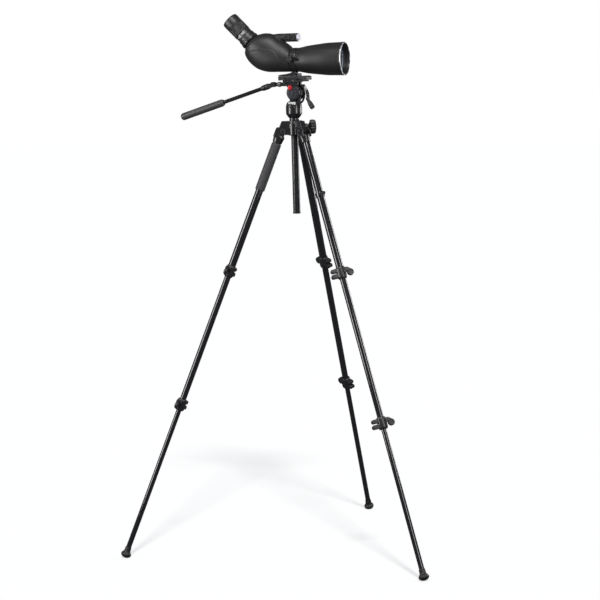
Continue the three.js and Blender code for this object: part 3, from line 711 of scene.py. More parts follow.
# ---- Leg tubes ----
# Three drawn aluminium tubes to a leg, each sliding in the one above. They are enamelled
# a hard gloss black, and one carries a moulded band with an eye for a strap.
tube_enamel = finish(
    "tube_enamel", (0.008, 0.008, 0.010), 0.14, coat=0.4, grain=2600, depth=0.003,
    wear=0.1, dust=0.015, spread=0.05,
)
LEG_LENGTH = 1399
UPPER_LOCK = 458
SECTION_OVERLAP = 40
LEVER_PIN_UP = 8


def down_leg(side, joint):
    """How far down its leg a joint lies, in millimetres."""
    return -(leg_places[side].inverted() @ pivot(joint)).z


def tube(radius, start, end, segments=64):
    return lathe(
        [(radius, -end), (radius, -start), (radius - TUBE_WALL, -start), (radius - TUBE_WALL, -end)],
        segments=segments, radius=0.25, ring=True,
    )


lower_lock = {side: down_leg(side, side + "_lower_lever_flip") + LEVER_PIN_UP for side in SIDES}
for side in SIDES:
    place, lock = leg_places[side], lower_lock[side]
    upper = tube(UPPER_RADIUS, 18.3, UPPER_LOCK + 2)
    middle = tube(MIDDLE_RADIUS, UPPER_LOCK - SECTION_OVERLAP, lock + 2)
    lower = tube(LOWER_RADIUS, lock - SECTION_OVERLAP, LEG_LENGTH - 9)
    for name, shape, body, node in (
        ("_outer_tube", upper, "_leg", "_upper_tube"),
        ("_inner_tube", middle, "_middle_section", "_middle_tube"),
        ("_foot_tube", lower, "_lower_section", "_lower_tube"),
    ):
        piece(side + name, shape, place, tube_enamel, side + body, "tube", side + node)

STRAP_DOWN = 207
STRAP_BAND_HALF = 7
STRAP_EYE_OUT = 18.6
band_low, band_high = -STRAP_DOWN - STRAP_BAND_HALF, -STRAP_DOWN + STRAP_BAND_HALF
strap_band = lathe(
    [(UPPER_RADIUS + 2.3, band_low), (UPPER_RADIUS + 2.3, band_high),
     (UPPER_RADIUS + 0.1, band_high), (UPPER_RADIUS + 0.1, band_low)],
    segments=64, radius=0.5, ring=True,
)
piece("strap_band", strap_band, leg_places["front"], tube_enamel, "front_leg", "tube")
strap_eye = lathe([(2.8, -3.5), (5.2, -3.5), (5.2, 3.5), (2.8, 3.5)], segments=40, radius=1, ring=True)
put(strap_eye, ALONG_Y, at=(STRAP_EYE_OUT, 0, -STRAP_DOWN))
piece("strap_eye", strap_eye, leg_places["front"], tube_enamel, "front_leg", "tube")


# ---- Leg locks ----
# A split nylon collar grips the thinner tube where it leaves the thicker one. Two stacked
# ears carry its screws, and a round paddle on a cross pin cams the collar shut.
LOCK_HEIGHT = 37
LOCK_RADIUS = 15
PIN_OUT = 20


def lock_solid(outer, inner):
    half = LOCK_HEIGHT / 2
    collar = lathe(
        [(0, -half), (LOCK_RADIUS - 2.5, -half), (LOCK_RADIUS - 0.5, -half + 5), (LOCK_RADIUS, -4),
         (LOCK_RADIUS, half - 5), (LOCK_RADIUS - 1.5, half), (0, half)],
        radius=1.2,
    )
    ears = [
        slab([(-8, 3), (-28, 3, 2.5), (-31, 6, 2.5), (-31, 13, 2.5), (-27, 15, 2.5), (-8, 15)], -8, 8),
        slab([(-8, -14), (-30, -14, 2.5), (-33, -10, 2.5), (-33, -4, 2.5), (-29, -1, 2.5), (-8, -1)], -8, 8),
    ]
    cheek = [(8, 1), (22, 1, 4), (26, 8, 4), (22, 14, 4), (8, 14)]
    cheeks = [slab(cheek, 5.3, 9), slab(cheek, -9, -5.3)]
    pin = put(rod(2, -7, 7), ALONG_Y, at=(PIN_OUT, 0, LEVER_PIN_UP))
    cuts = [
        rod(outer + 0.25, -3, half + 5),
        rod(inner + 0.25, -half - 5, -2),
        block((-40, -8), (-0.6, 0.6), (-30, 30)),
    ]
    return cast([collar, *ears, *cheeks, pin], cuts, voxel=0.62, soften=4)


def lever_solid():
    paddle = lathe([(0, -5), (9.3, -5), (10.8, -3.2), (10.8, 3.2), (9.3, 5), (0, 5)], radius=1.2)
    put(paddle, ALONG_Y, at=(27.5, 0, -3))
    arm = slab([(17.5, 4, 2), (20, 12, 3), (25, 12, 3), (32, 6), (28, -8), (20, -4, 2)], -5, 5)
    dish = [put(rod(7, 4.2 * turn, 6 * turn), ALONG_Y, at=(28.5, 0, -4)) for turn in (-1, 1)]
    hole = put(rod(2.3, -8, 8), ALONG_Y, at=(PIN_OUT, 0, LEVER_PIN_UP))
    return cast([paddle, arm], [hole, *dish], voxel=0.5, soften=4)


upper_lock_shape = lock_solid(UPPER_RADIUS, MIDDLE_RADIUS)
lower_lock_shape = lock_solid(MIDDLE_RADIUS, LOWER_RADIUS)
lever_shape = lever_solid()
screw_shape = lathe(
    [(0, 8.2), (1.6, 8.2), (1.6, 9.6, 0.2), (3.2, 9.6), (3.6, 8.8), (3.6, 7), (0, 7)],
    segments=24, radius=0.25,
)
for side in SIDES:
    for level, at, shape, body in (
        ("upper", UPPER_LOCK, upper_lock_shape, side + "_leg"),
        ("lower", lower_lock[side], lower_lock_shape, side + "_middle_section"),
    ):
        place = clamp_places[side] @ Matrix.Translation((0, 0, -at))
        name = f"{side}_{level}_"
        piece(name + "lock_collar", shape.copy(), place, nylon, body, "moulding", name + "lock")
        lever = name + "lever"
        piece(name + "lock_paddle", lever_shape.copy(), place, nylon, lever, "moulding", lever)
        screws = joined(*[
            put(screw_shape.copy(), ALONG_Y, Matrix.Rotation(turn, 4, "Z"), at=(x, 0, z))
            for x, z in ((-25, 9), (-26, -7.5)) for turn in (math.pi, 0)
        ])
        piece(name + "lock_screws", screws, place, black_steel, body, "steel")


# ---- Leg grip ----
# A sleeve of charcoal closed-cell foam slid over one upper tube, so that a cold tripod can be
# carried by it. Its skin is matt and faintly pitted.
foam = finish(
    "charcoal_foam", (0.036, 0.036, 0.038), 0.62, grain=420, depth=0.09, worn=(0.12, 0.12, 0.12), wear=0.2,
    dust=0.03, drift=0.18, specular=0.35,
)
GRIP_END = 192
GRIP_RADIUS = UPPER_RADIUS + 3.2
grip_sleeve = lathe(
    [(GRIP_RADIUS - 1, -GRIP_END), (GRIP_RADIUS, -GRIP_END + 2), (GRIP_RADIUS, -CASTING_LENGTH - 3),
     (GRIP_RADIUS - 1, -CASTING_LENGTH - 0.5), (UPPER_RADIUS + 0.3, -CASTING_LENGTH - 0.5),
     (UPPER_RADIUS + 0.3, -GRIP_END)],
    radius=1, ring=True,
)
piece("leg_foam_grip", grip_sleeve, leg_places["left"], foam, "left_leg", "foam", "leg_grip")


# ---- Feet ----
# Rubber balls moulded over the lowest tubes, each worn to a small flat where it stands.
# The rubber is matt black, with a little dust on what faces up.
rubber = finish(
    "black_rubber", (0.011, 0.011, 0.012), 0.5, grain=700, depth=0.05, worn=(0.04, 0.04, 0.04), wear=0.3,
    dust=0.02, specular=0.4,
)
FOOT_SPREAD, FOOT_DEPTH = 16, 10.8


def foot_solid(side):
    ball = [
        (FOOT_SPREAD * math.sin(math.radians(a)), -FOOT_DEPTH * math.cos(math.radians(a)), 0)
        for a in range(0, 126, 6)
    ]
    bore = LOWER_RADIUS + 0.3
    boot = [(10.6, 9.2), (9.9, 14), (9.6, 21), (9.2, 24), (bore, 24), (bore, 9), (0, 9)]
    foot = put(lathe(ball + boot, segments=64, radius=0.6), at=(0, 0, -LEG_LENGTH))
    to_leg = leg_places[side].inverted()
    ground_up = to_leg.to_3x3() @ Vector((0, 0, 1))
    cut = bmesh.ops.bisect_plane(
        foot, geom=foot.verts[:] + foot.edges[:] + foot.faces[:], plane_co=to_leg @ Vector((0, 0, 0)),
        plane_no=ground_up.normalized(), clear_inner=True,
    )
    rim = [e for e in cut["geom_cut"] if isinstance(e, bmesh.types.BMEdge)]
    bmesh.ops.contextual_create(foot, geom=rim)
    bmesh.ops.recalc_face_normals(foot, faces=foot.faces)
    return foot


for side in SIDES:
    piece(
        side + "_rubber_foot", foot_solid(side), leg_places[side], rubber,
        side + "_lower_section", "rubber", side + "_foot",
    )


# ---- Head base ----
# The turned cup that screws on the column's stud and carries the pan bearing, enamelled
# gloss black, with a stepped neck below and a fine groove under its rim.
head_place = seat((TRIPOD_X, TRIPOD_Y, hub_high.z))
cup_top = pivot("pan").z / MM - hub_top
CUP_RADIUS = 25
cup = lathe(
    [(0, -14), (8, -14), (8, 0.3), (15, 0.3), (15, 9), (18, 10.5),
     (CUP_RADIUS - 2, 18.5), (CUP_RADIUS - 1, 19.2), (CUP_RADIUS, 23),
     (CUP_RADIUS, cup_top - 6, 0.3), (CUP_RADIUS - 0.8, cup_top - 5.6, 0.3),
     (CUP_RADIUS - 0.8, cup_top - 4.8, 0.3), (CUP_RADIUS, cup_top - 4.4, 0.3),
     (CUP_RADIUS, cup_top - 1.2), (CUP_RADIUS - 1.2, cup_top),
     (10, cup_top), (10, cup_top + 5), (0, cup_top + 5)],
    segments=112, radius=0.7,
)
piece("pan_base_cup", cup, head_place, enamel, "column", SLOT_CASTING, "head_base")


# ---- Pan yoke ----
# The casting that turns on the cup. Its cone rises into a narrow neck that holds the tilt
# drum, and a curved arm at the front reaches up to the lock lever's pivot.
tilt_x, _, tilt_up = head_place.inverted() @ pivot("tilt")
lever_x, _, lever_up = head_place.inverted() @ pivot("lock_lever_turn")
DRUM_RADIUS, DRUM_HALF = 20, 10.3
PAN_GAP = 0.4


def yoke_solid():
    low = cup_top + PAN_GAP
    cone = lathe(
        [(0, low), (24.2, low), (24.4, low + 1.5), (21.5, low + 8), (17, low + 12.5), (0, low + 14)],
        segments=112, radius=1.2,
    )
    neck = slab(
        [(tilt_x - 17, low + 8), (tilt_x + 12, low + 8), (tilt_x + 16, tilt_up - 10),
         (tilt_x - 18, tilt_up - 8)],
        -DRUM_HALF, DRUM_HALF,
    )
    drum = put(rod(DRUM_RADIUS, -DRUM_HALF, DRUM_HALF, 96), ALONG_Y, at=(tilt_x, 0, tilt_up))
    arm = [
        (10, low + 8), (26, low + 12, 6), (32, tilt_up - 14, 10), (33.2, tilt_up + 2, 10),
        (lever_x - 4, lever_up - 3, 3), (lever_x + 1, lever_up + 3, 2), (36.5, tilt_up + 10, 8),
        (38.2, tilt_up - 4, 10), (36, tilt_up - 18, 10), (28, low + 6, 8), (16, low + 3),
    ]
    pin = put(rod(2.5, -9, 9), ALONG_Y, at=(lever_x, 0, lever_up))
    bore = rod(10.4, low - 5, low + 5)
    return cast([cone, neck, drum, slab(arm, -4, 4), pin], [bore], voxel=0.75)


piece("pan_yoke_casting", yoke_solid(), head_place, enamel, "pan", SLOT_CASTING, "pan_yoke")
pale_print = finish(
    "pale_badge", (0.4, 0.4, 0.41), 0.4, grain=900, depth=0.01, wear=0.2, dust=0.02, drift=0.12,
)
BADGE_HALF_TURN = 36
BADGE_STEPS = 16
BADGE_LIFT = 0.5
BADGE_SUNK = 0.985


def badge_on_cone():
    """A blank pale label that lies on the yoke's cone and faces the side with the tilt cap."""
    bm = bmesh.new()
    spread = [BADGE_HALF_TURN * (2 * k / BADGE_STEPS - 1) for k in range(BADGE_STEPS + 1)]
    turns = [math.radians(turn - 90) for turn in spread]

    def row(radius, height):
        return [bm.verts.new((radius * math.cos(a), radius * math.sin(a), height)) for a in turns]

    low = cup_top + PAN_GAP
    rims = [(23.0, low + 5), (20.0, low + 10.2)]
    front = [row(r + BADGE_LIFT, z + BADGE_LIFT) for r, z in rims]
    back = [row(r * BADGE_SUNK, z * BADGE_SUNK) for r, z in rims]
    for k in range(BADGE_STEPS):
        bm.faces.new([front[0][k], front[0][k + 1], front[1][k + 1], front[1][k]])
        bm.faces.new([back[1][k], back[1][k + 1], back[0][k + 1], back[0][k]])
        bm.faces.new([front[1][k], front[1][k + 1], back[1][k + 1], back[1][k]])
        bm.faces.new([back[0][k], back[0][k + 1], front[0][k + 1], front[0][k]])
    for k in (0, BADGE_STEPS):
        bm.faces.new([front[0][k], front[1][k], back[1][k], back[0][k]])
    bmesh.ops.recalc_face_normals(bm, faces=bm.faces)
    return bm


piece("yoke_badge", badge_on_cone(), head_place, pale_print, "pan", "silver")


# ---- Tilt housing ----
# Two round cheeks straddle the yoke's drum and meet above it in a block with a hollow waist.
# The block opens into the dovetail clamp that holds the quick-release plate.
PLATE_UNDER, PLATE_TOP = 124, 137
PLATE_HALF = 23
RECEIVER_BACK, RECEIVER_FRONT = -25, 22
RAIL_WIDTH = 4
CHEEK_FACE = 18
under = PLATE_UNDER - 0.3
housing_gloss = finish(
    "housing_gloss", (0.012, 0.011, 0.013), 0.26, coat=0.25, grain=1300, depth=0.012,
    worn=(0.09, 0.09, 0.1), wear=0.25, dust=0.02,
)


def housing_solid():
    cheek = DRUM_HALF + 0.6
    discs = [
        put(rod(24, *sorted((turn * cheek, turn * CHEEK_FACE)), 96), ALONG_Y, at=(tilt_x, 0, tilt_up))
        for turn in (-1, 1)
    ]
    crown = [
        (-12, tilt_up + 6), (26, tilt_up + 6), (21, tilt_up + 16, 8), (21, under - 6, 3),
        (RECEIVER_FRONT, under), (RECEIVER_BACK, under), (RECEIVER_BACK, under - 11, 3),
        (-14, tilt_up + 19, 7),
    ]
    length, wide = (RECEIVER_BACK, RECEIVER_FRONT), PLATE_HALF + RAIL_WIDTH
    rails = [
        block(length, across, (under - 5, under + 7), radius=1.5)
        for across in ((PLATE_HALF + 0.4, wide), (-wide, -PLATE_HALF - 0.4))
    ]
    sill = block(length, (-wide, wide), (under - 6, under), radius=1.5)
    cuts = [
        put(rod(DRUM_RADIUS + 0.6, -cheek, cheek, 96), ALONG_Y, at=(tilt_x, 0, tilt_up)),
        block((tilt_x - 8, 45), (-10, 10), (tilt_up - 40, under - 3)),
    ]
    return cast([*discs, slab(crown, -CHEEK_FACE, CHEEK_FACE), sill, *rails], cuts, voxel=0.75)


piece(
    "tilt_housing_casting", housing_solid(), head_place, housing_gloss, "tilt", SLOT_CASTING, "tilt_housing",
)


# ---- Tilt cap ----
# The turned graphite cover over the tilt bearing, held by its own spigot, with a plain
# red enamel stud pressed into the housing above it.
graphite = finish(
    "graphite_cap", (0.036, 0.037, 0.044), 0.3, metallic=0.6, grain=2000, depth=0.008, worn=(0.3, 0.3, 0.32),
    wear=0.3, dust=0.04,
)
red_enamel = finish(
    "red_enamel", (0.42, 0.012, 0.016), 0.18, coat=0.6, grain=1200, depth=0.004, worn=(0.6, 0.1, 0.1),
    wear=0.2, dust=0.03, drift=0.1,
)
cap_place = seat(pivot("tilt"))
cap = put(lathe(
    [(0, CHEEK_FACE + 0.3), (21.4, CHEEK_FACE + 0.3), (21.4, CHEEK_FACE + 3), (19.4, CHEEK_FACE + 4.6),
     (9, CHEEK_FACE + 5), (8.4, CHEEK_FACE + 4.4), (7.8, CHEEK_FACE + 5.1), (0, CHEEK_FACE + 5.4)],
    segments=96,
), ALONG_Y, HALF_TURN)
piece("tilt_bearing_cap", cap, cap_place, graphite, "tilt", "cap", "tilt_cap")
stud = put(lathe(
    [(0, CHEEK_FACE), (6.8, CHEEK_FACE), (7.5, CHEEK_FACE + 1), (7.5, CHEEK_FACE + 6.6),
     (6.2, CHEEK_FACE + 8.4), (0, CHEEK_FACE + 9)], segments=64, radius=1,
), ALONG_Y, HALF_TURN, at=(-10, 0, 16))
piece("red_stud", stud, cap_place, red_enamel, "tilt", "cap")


# ---- Quick-release plate ----
# A die-cast plate with bevelled edges that slides into the clamp. A round spigot in front
# stops the scope from turning on the screw that passes up through the plate.
plate_black = finish(
    "plate_black", (0.018, 0.017, 0.02), 0.36, grain=1000, depth=0.03,
    worn=(0.1, 0.1, 0.1), wear=0.3, dust=0.03,
)
spigot_grey = finish(
    "spigot_grey", (0.2, 0.2, 0.21), 0.45, grain=900, depth=0.02, worn=(0.6, 0.6, 0.6),
    wear=0.3, dust=0.05, drift=0.1,
)
steel = finish(
    "satin_steel", (0.5, 0.5, 0.52), 0.28, metallic=1.0, grain=1800, depth=0.008, worn=(0.7, 0.7, 0.7),
    wear=0.2, dust=0.02, drift=0.1,
)
PLATE_BACK, PLATE_FRONT = -41.3, 52.7
PLATE_SCREW_X = -4
SPIGOT_X = 20


def plate_solid():
    body = slab(
        [(PLATE_BACK, PLATE_UNDER, 1), (PLATE_FRONT, PLATE_UNDER, 1), (PLATE_FRONT, PLATE_TOP - 3, 2),
         (48, PLATE_TOP, 2), (PLATE_BACK, PLATE_TOP, 2.5)], -PLATE_HALF, PLATE_HALF, bevel=1.2,
    )
    edge = (-PLATE_HALF - 4, -PLATE_HALF + 2.5)
    cuts = [
        put(rod(3.4, PLATE_UNDER - 2, PLATE_TOP + 3), at=(PLATE_SCREW_X, 0, 0)),
        put(rod(9, PLATE_UNDER - 2, PLATE_UNDER + 5), at=(PLATE_SCREW_X, 0, 0)),
        block((36, 44), (-5, 5), (PLATE_TOP - 4, PLATE_TOP + 4)),
        block((34, 42), edge, (PLATE_TOP - 5, PLATE_TOP + 4)),
        block((46.5, 50), edge, (PLATE_TOP - 6, PLATE_TOP + 4)),
    ]
    return cast([body], cuts, voxel=0.8, soften=3)


piece("release_plate", plate_solid(), head_place, plate_black, "plate", SLOT_CASTING, "quick_release_plate")
spigot = lathe(
    [(0, PLATE_TOP - 1), (8, PLATE_TOP - 1), (8, PLATE_TOP + 7), (7, PLATE_TOP + 8), (0, PLATE_TOP + 8)],
    segments=64,
)
piece("plate_spigot", put(spigot, at=(SPIGOT_X, 0, 0)), head_place, spigot_grey, "plate", "silver")
screw = lathe(
    [(0, PLATE_UNDER + 1), (8, PLATE_UNDER + 1), (8.5, PLATE_UNDER + 1.6), (8.5, PLATE_UNDER + 4.7),
     (3.1, PLATE_UNDER + 4.7, 0.2), (3.1, PLATE_TOP + 8.6), (0, PLATE_TOP + 9)], segments=48,
)
put(screw, at=(PLATE_SCREW_X, 0, 0))
piece("scope_screw", screw, head_place, steel, "plate", "steel", "plate_screw")
plate_arm = cast(
    [
        put(rod(4.5, PLATE_UNDER - 6, PLATE_UNDER + 1, 40), at=(12, -32, 0)),
        slab([(10, PLATE_UNDER - 4.6), (61, PLATE_UNDER - 4.4), (63, PLATE_UNDER - 2, 1.5),
              (60, PLATE_UNDER - 0.1), (10, PLATE_UNDER - 0.1)], -34.6, -29.4, radius=1),
    ], voxel=0.5, soften=3,
)
piece("plate_latch", plate_arm, head_place, nylon, "plate_lever", "moulding", "plate_lever")


# ---- Tilt lock lever ----
# A forked lever on the yoke's arm that clamps the tilt. Its two straps meet in a bridge
# that carries a tapered, fluted knob.
lock_place = seat(pivot("lock_lever_turn"))
straps = [
    slab([(1, 4.5), (12, -6, 14), (14, -28, 6), (17, -42), (21, -41), (19.6, -18, 14), (4, 6)], *across)
    for across in ((4.5, 8.5), (-8.5, -4.5))
]
eyes = [put(rod(5, -2, 2, 40), ALONG_Y, at=(0, y, 0)) for y in (6.5, -6.5)]
lever_fork = cast(
    [*straps, *eyes, block((13.5, 20), (-8.5, 8.5), (-44, -34), radius=2)],
    [put(rod(2.8, -10, 10), ALONG_Y)], voxel=0.5, soften=4,
)
piece("lock_lever_fork", lever_fork, lock_place, enamel, "lock_lever", "moulding", "lock_lever")
LOCK_KNOB_TILT = math.radians(-31)
lock_knob = fluted(
    [(0, -34), (5, -34), (7.6, -32), (8, -29), (7.6, -17), (4.8, -3), (0, -3)],
    10, 0.9, -33, -12, 5.5, rubber,
)
put(lock_knob, Matrix.Rotation(LOCK_KNOB_TILT, 4, "Y"), at=(16, 0, -40))
piece("lock_lever_knob", lock_knob, lock_place, rubber, "lock_lever", "rubber")


# ---- Pan handle ----
# A bracket behind the clamp block ends in a round eye. The handle's elbow folds on it
# and carries a thin enamelled rod with a long moulded grip.
handle_x, _, handle_up = head_place.inverted() @ pivot("handle_joint")
bracket = cast(
    [
        block((handle_x, RECEIVER_BACK - 0.3), (-6, 6), (handle_up - 6, handle_up + 6), radius=2),
        put(rod(8, -6, 6, 64), ALONG_Y, at=(handle_x, 0, handle_up)),
    ], voxel=0.55, soften=4,
)
piece("handle_joint_bracket", bracket, head_place, enamel, "tilt", "moulding", "handle_bracket")
HANDLE_SLOPE = 17.1
handle_turn = Matrix.Rotation(math.radians(90 - HANDLE_SLOPE), 4, "Y")
handle_place = seat(pivot("handle_joint")) @ handle_turn
cheeks = [put(rod(8, -2.3, 2.3, 56), ALONG_Y, at=(0, y, 0)) for y in (8.6, -8.6)]
arms = [block((-6, 6), across, (-22, 0)) for across in ((6.3, 10.9), (-10.9, -6.3))]
socket = lathe([(0, -36), (8.2, -36), (9, -33), (9, -17), (8, -14), (0, -14)], radius=1)
elbow = cast([*cheeks, *arms, socket], voxel=0.55)
piece("handle_elbow", elbow, handle_place, enamel, "handle", "moulding", "handle_arm")
rod_tube = lathe([(0, -318), (6, -318), (6, -30), (0, -30)], segments=64)
piece("handle_rod", rod_tube, handle_place, tube_enamel, "handle", "tube")
ring_step = lathe([(0, -40), (7.6, -40), (7.9, -39), (7.9, -35), (0, -35)], segments=64)
piece("handle_ring", ring_step, handle_place, enamel, "handle", SLOT_CASTING)
bracket_ring = put(
    lathe([(0, -4.5), (7.6, -4.5), (7.9, -3.9), (7.9, 3.9), (7.6, 4.5), (0, 4.5)], segments=64), ALONG_X,
    at=(-44.5, 0, handle_up),
)
satin_ring = finish(
    "satin_ring", (0.3, 0.3, 0.32), 0.3, metallic=0.9, grain=1800, depth=0.01,
    worn=(0.5, 0.5, 0.5), wear=0.25, dust=0.03,
)
piece("bracket_ring", bracket_ring, head_place, satin_ring, "tilt", "silver")
handle_rubber = finish(
    "handle_rubber", (0.034, 0.034, 0.036), 0.5, grain=600, depth=0.02,
    worn=(0.1, 0.1, 0.1), wear=0.25, dust=0.05,
)
grip = lathe(
    [(0, -325, 0), (8, -325, 3), (11.5, -320, 4), (11.5, -182, 3), (10.6, -178, 1.5), (9, -174, 1),
     (6.3, -174), (6.3, -319), (0, -319)],
    segments=80, radius=0.4,
)
piece("handle_long_grip", grip, handle_place, handle_rubber, "handle", "foam", "handle_grip")


# ---- Scope body ----
# A hollow magnesium shell in matt rubber armour. It holds the prism, swells toward the
# eyepiece and carries a fairing for the focus drive on its back.
scope_place = seat(pivot("scope_turn"))
ZOOM_UP = 54
eye_axis = axis("zoom_turn")
eye_place = seat(pivot("zoom_turn") - eye_axis * ZOOM_UP * MM, eye_axis)
armour = finish(
    "body_armour", (0.0125, 0.0122, 0.0124), 0.45, grain=1500, depth=0.05, worn=(0.04, 0.04, 0.04), wear=0.2,
    dust=0.01, specular=0.4,
)
EYE_X, EYE_Z = -134.8, 59.4
FOCUS_UP = 68.5
FOCUS_START = -27
EYE_BASE_RADIUS = 30
LOFT_RINGS, LOFT_TURNS = 72, 96


def spline(points, t):
    """A point on a smooth curve through the points, for t from 0 to 1."""
    spans = len(points) - 1
    k = min(int(t * spans), spans - 1)
    u = t * spans - k
    p1, p2 = Vector(points[k]), Vector(points[k + 1])
    p0 = Vector(points[k - 1]) if k else p1 * 2 - p2
    p3 = Vector(points[k + 2]) if k + 2 <= spans else p2 * 2 - p1
    bend = 2 * p0 - 5 * p1 + 4 * p2 - p3
    twist = 3 * p1 - p0 - 3 * p2 + p3
    return 0.5 * (2 * p1 + (p2 - p0) * u + bend * u ** 2 + twist * u ** 3)


SEAT_REACH = EYE_BASE_RADIUS * math.sqrt(0.5)
BODY_BACK = [
    (EYE_X + SEAT_REACH, EYE_Z + SEAT_REACH), (-90, 84), (-64, 79), (-38, 62), (-20, 50.5),
    (-10, 42.5), (-6, 37),
]
BODY_BELLY = [
    (EYE_X - SEAT_REACH, EYE_Z - SEAT_REACH), (-158, 19), (-145, -3), (-120, -23.5), (-88, -34), (-48, -35.5),
    (-6, -36),
]
BODY_WIDTHS = [30, 37, 41, 41.5, 41, 39, 36.4]


def body_section(t, turn, grow=0.0):
    """A point on the body's skin: t runs from eyepiece to collar, the turn is taken from the back."""
    back, belly = spline(BODY_BACK, t), spline(BODY_BELLY, t)
    half = (back - belly) / 2
    middle = back - half
    wide = spline([(width, 0) for width in BODY_WIDTHS], t)[0] + grow
    tall = half * (1 + grow / half.length)
    lean = math.cos(turn)
    return (middle[0] + tall[0] * lean, wide * math.sin(turn), middle[1] + tall[1] * lean)


def skinned(bm, rows):
    """Joins rings of points, each to the one after it, into a solid with flat ends."""
    for low, high in zip(rows, rows[1:]):
        for i in range(len(low)):
            j = (i + 1) % len(low)
            bm.faces.new([low[i], low[j], high[j], high[i]])
    bm.faces.new(rows[0])
    bm.faces.new(rows[-1])


def body_loft():
    bm = bmesh.new()
    turns = [2 * math.pi * i / LOFT_TURNS for i in range(LOFT_TURNS)]
    rows = [
        [bm.verts.new(body_section(k / LOFT_RINGS, turn)) for turn in turns]
        for k in range(LOFT_RINGS + 1)
    ]
    skinned(bm, rows)
    bmesh.ops.recalc_face_normals(bm, faces=bm.faces)
    return bm


BEAD_RADIUS = 0.8
BEAD_STEPS = 40
BEAD_SIDES = 10
BEAD_START, BEAD_SPAN = 0.22, 0.7


def seam_bead():
    """A low raised bead that runs along both flanks of the armour."""
    bm = bmesh.new()
    round_bead = [2 * math.pi * i / BEAD_SIDES for i in range(BEAD_SIDES)]
    for flank in (1, -1):
        rows = []
        for k in range(BEAD_STEPS + 1):
            t = BEAD_START + BEAD_SPAN * k / BEAD_STEPS
            turn = flank * (math.radians(118) - math.radians(46) * math.sin(math.pi * k / BEAD_STEPS))
            centre = Vector(body_section(t, turn, 0.2))
            rows.append([
                bm.verts.new(centre + Vector((0, BEAD_RADIUS * math.cos(a), BEAD_RADIUS * math.sin(a))))
                for a in round_bead
            ])
        skinned(bm, rows)
    bmesh.ops.recalc_face_normals(bm, faces=bm.faces)
    return bm


def body_solid():
    fairing = put(lathe(
        [(0, -86), (6, -86), (11, -69), (13, -50), (13, -30, 0.6), (12.2, -29.4, 0.4), (12.2, -28.4, 0.4),
         (13, FOCUS_START - 0.6, 0.4), (13, FOCUS_START), (0, FOCUS_START)], segments=96, radius=6,
    ), ALONG_X, at=(0, 0, FOCUS_UP))
    cuts = [
        put(rod(32, -40, 5, 96), ALONG_X),
        put(rod(21.9, -40, 5, 96), Matrix.Rotation(-math.pi / 4, 4, "Y"), at=(EYE_X, 0, EYE_Z)),
        put(rod(4.4, -54, 5), ALONG_X, at=(0, 0, FOCUS_UP)),
    ]
    return cast([body_loft(), fairing, seam_bead()], cuts, voxel=1.0, soften=3)


piece("armoured_body", body_solid(), scope_place, armour, "scope", "armour", "body_shell")


# ---- Prism ----
# The glass block inside the body that turns the view up to the angled eyepiece. Its faces
# are polished and its edges finely ground.
glass = finish(
    "coated_glass", (0.02, 0.03, 0.05), 0.04, coat=1.0, specular=0.8, grain=400, depth=0.001,
    worn=(0.2, 0.22, 0.25), wear=0.1, dust=0.02, spread=0.02,
)
glass.node_tree.nodes["Principled BSDF"].inputs["Coat IOR"].default_value = 2.2
prism = slab([(-48, -18), (-48, 18), (-82, 40), (-111, 11), (-97, -14)], -20, 20, radius=1, bevel=0.8)
piece("prism_block", prism, scope_place, glass, "scope", "glass", "prism")


# ---- Objective barrel ----
# The flared tube ahead of the collar, in the same rubber armour, lined with fine black
# baffle threads so that stray light dies inside it.
NECK, COLLAR_FRONT, BARREL_FRONT = 34.6, 15, 156
FLARE = [(36.8, 20), (41.8, 45), (45.6, 76), (49, 109), (50, 140), (50.3, BARREL_FRONT)]
taper = [tuple(spline(FLARE, k / 40)) for k in range(41)]
THREADS = 24
THREAD_DEPTH = 0.6
threads = []
for k in range(THREADS, -1, -1):
    bore = 33.2 + (43 - 33.2) * k / THREADS
    threads.append((bore + (THREAD_DEPTH if k % 2 else 0), 18 + (100 - 18) * k / THREADS, 0))
barrel = put(lathe(
    [(31.7, -32), (31.7, -5.7), (NECK, -5.7), (NECK, COLLAR_FRONT + 0.3, 0.2),
     (36.2, COLLAR_FRONT + 0.3, 0.8), *taper, (44.6, BARREL_FRONT), (44.6, 144), (43, 144),
     *threads, (29, -5), (29, -32)],
    segments=144, radius=0.5, ring=True,
), ALONG_X)
piece("flared_barrel", barrel, scope_place, armour, "scope", "armour", "barrel")


# ---- Bezel ----
# A turned ring, screwed on ahead of the lens and covered like the barrel. Its front edge is
# a narrow lip of bare, bright aluminium.
bright_ring = finish(
    "bright_ring", (0.62, 0.62, 0.64), 0.22, metallic=1.0, grain=2400, depth=0.006, worn=(0.8, 0.8, 0.8),
    wear=0.3, dust=0.03, drift=0.08,
)
rim = BARREL_FRONT + 0.3
bezel = put(lathe(
    [(44.6, rim), (50.6, rim), (50.6, rim + 7.2), (49, rim + 7.6), (46.4, rim + 7.6), (45.6, rim + 2)],
    segments=144, radius=0.5, ring=True,
), ALONG_X)
piece("bezel_ring", bezel, scope_place, armour, "scope", "armour", "bezel")
lip = put(lathe(
    [(46.6, rim + 6.4), (50.7, rim + 6.4), (50.7, rim + 7.8), (49.8, rim + 9), (48, rim + 9),
     (46.6, rim + 8)],
    segments=144, radius=0.4, ring=True,
), ALONG_X)
piece("bezel_lip", lip, scope_place, bright_ring, "scope", "silver")


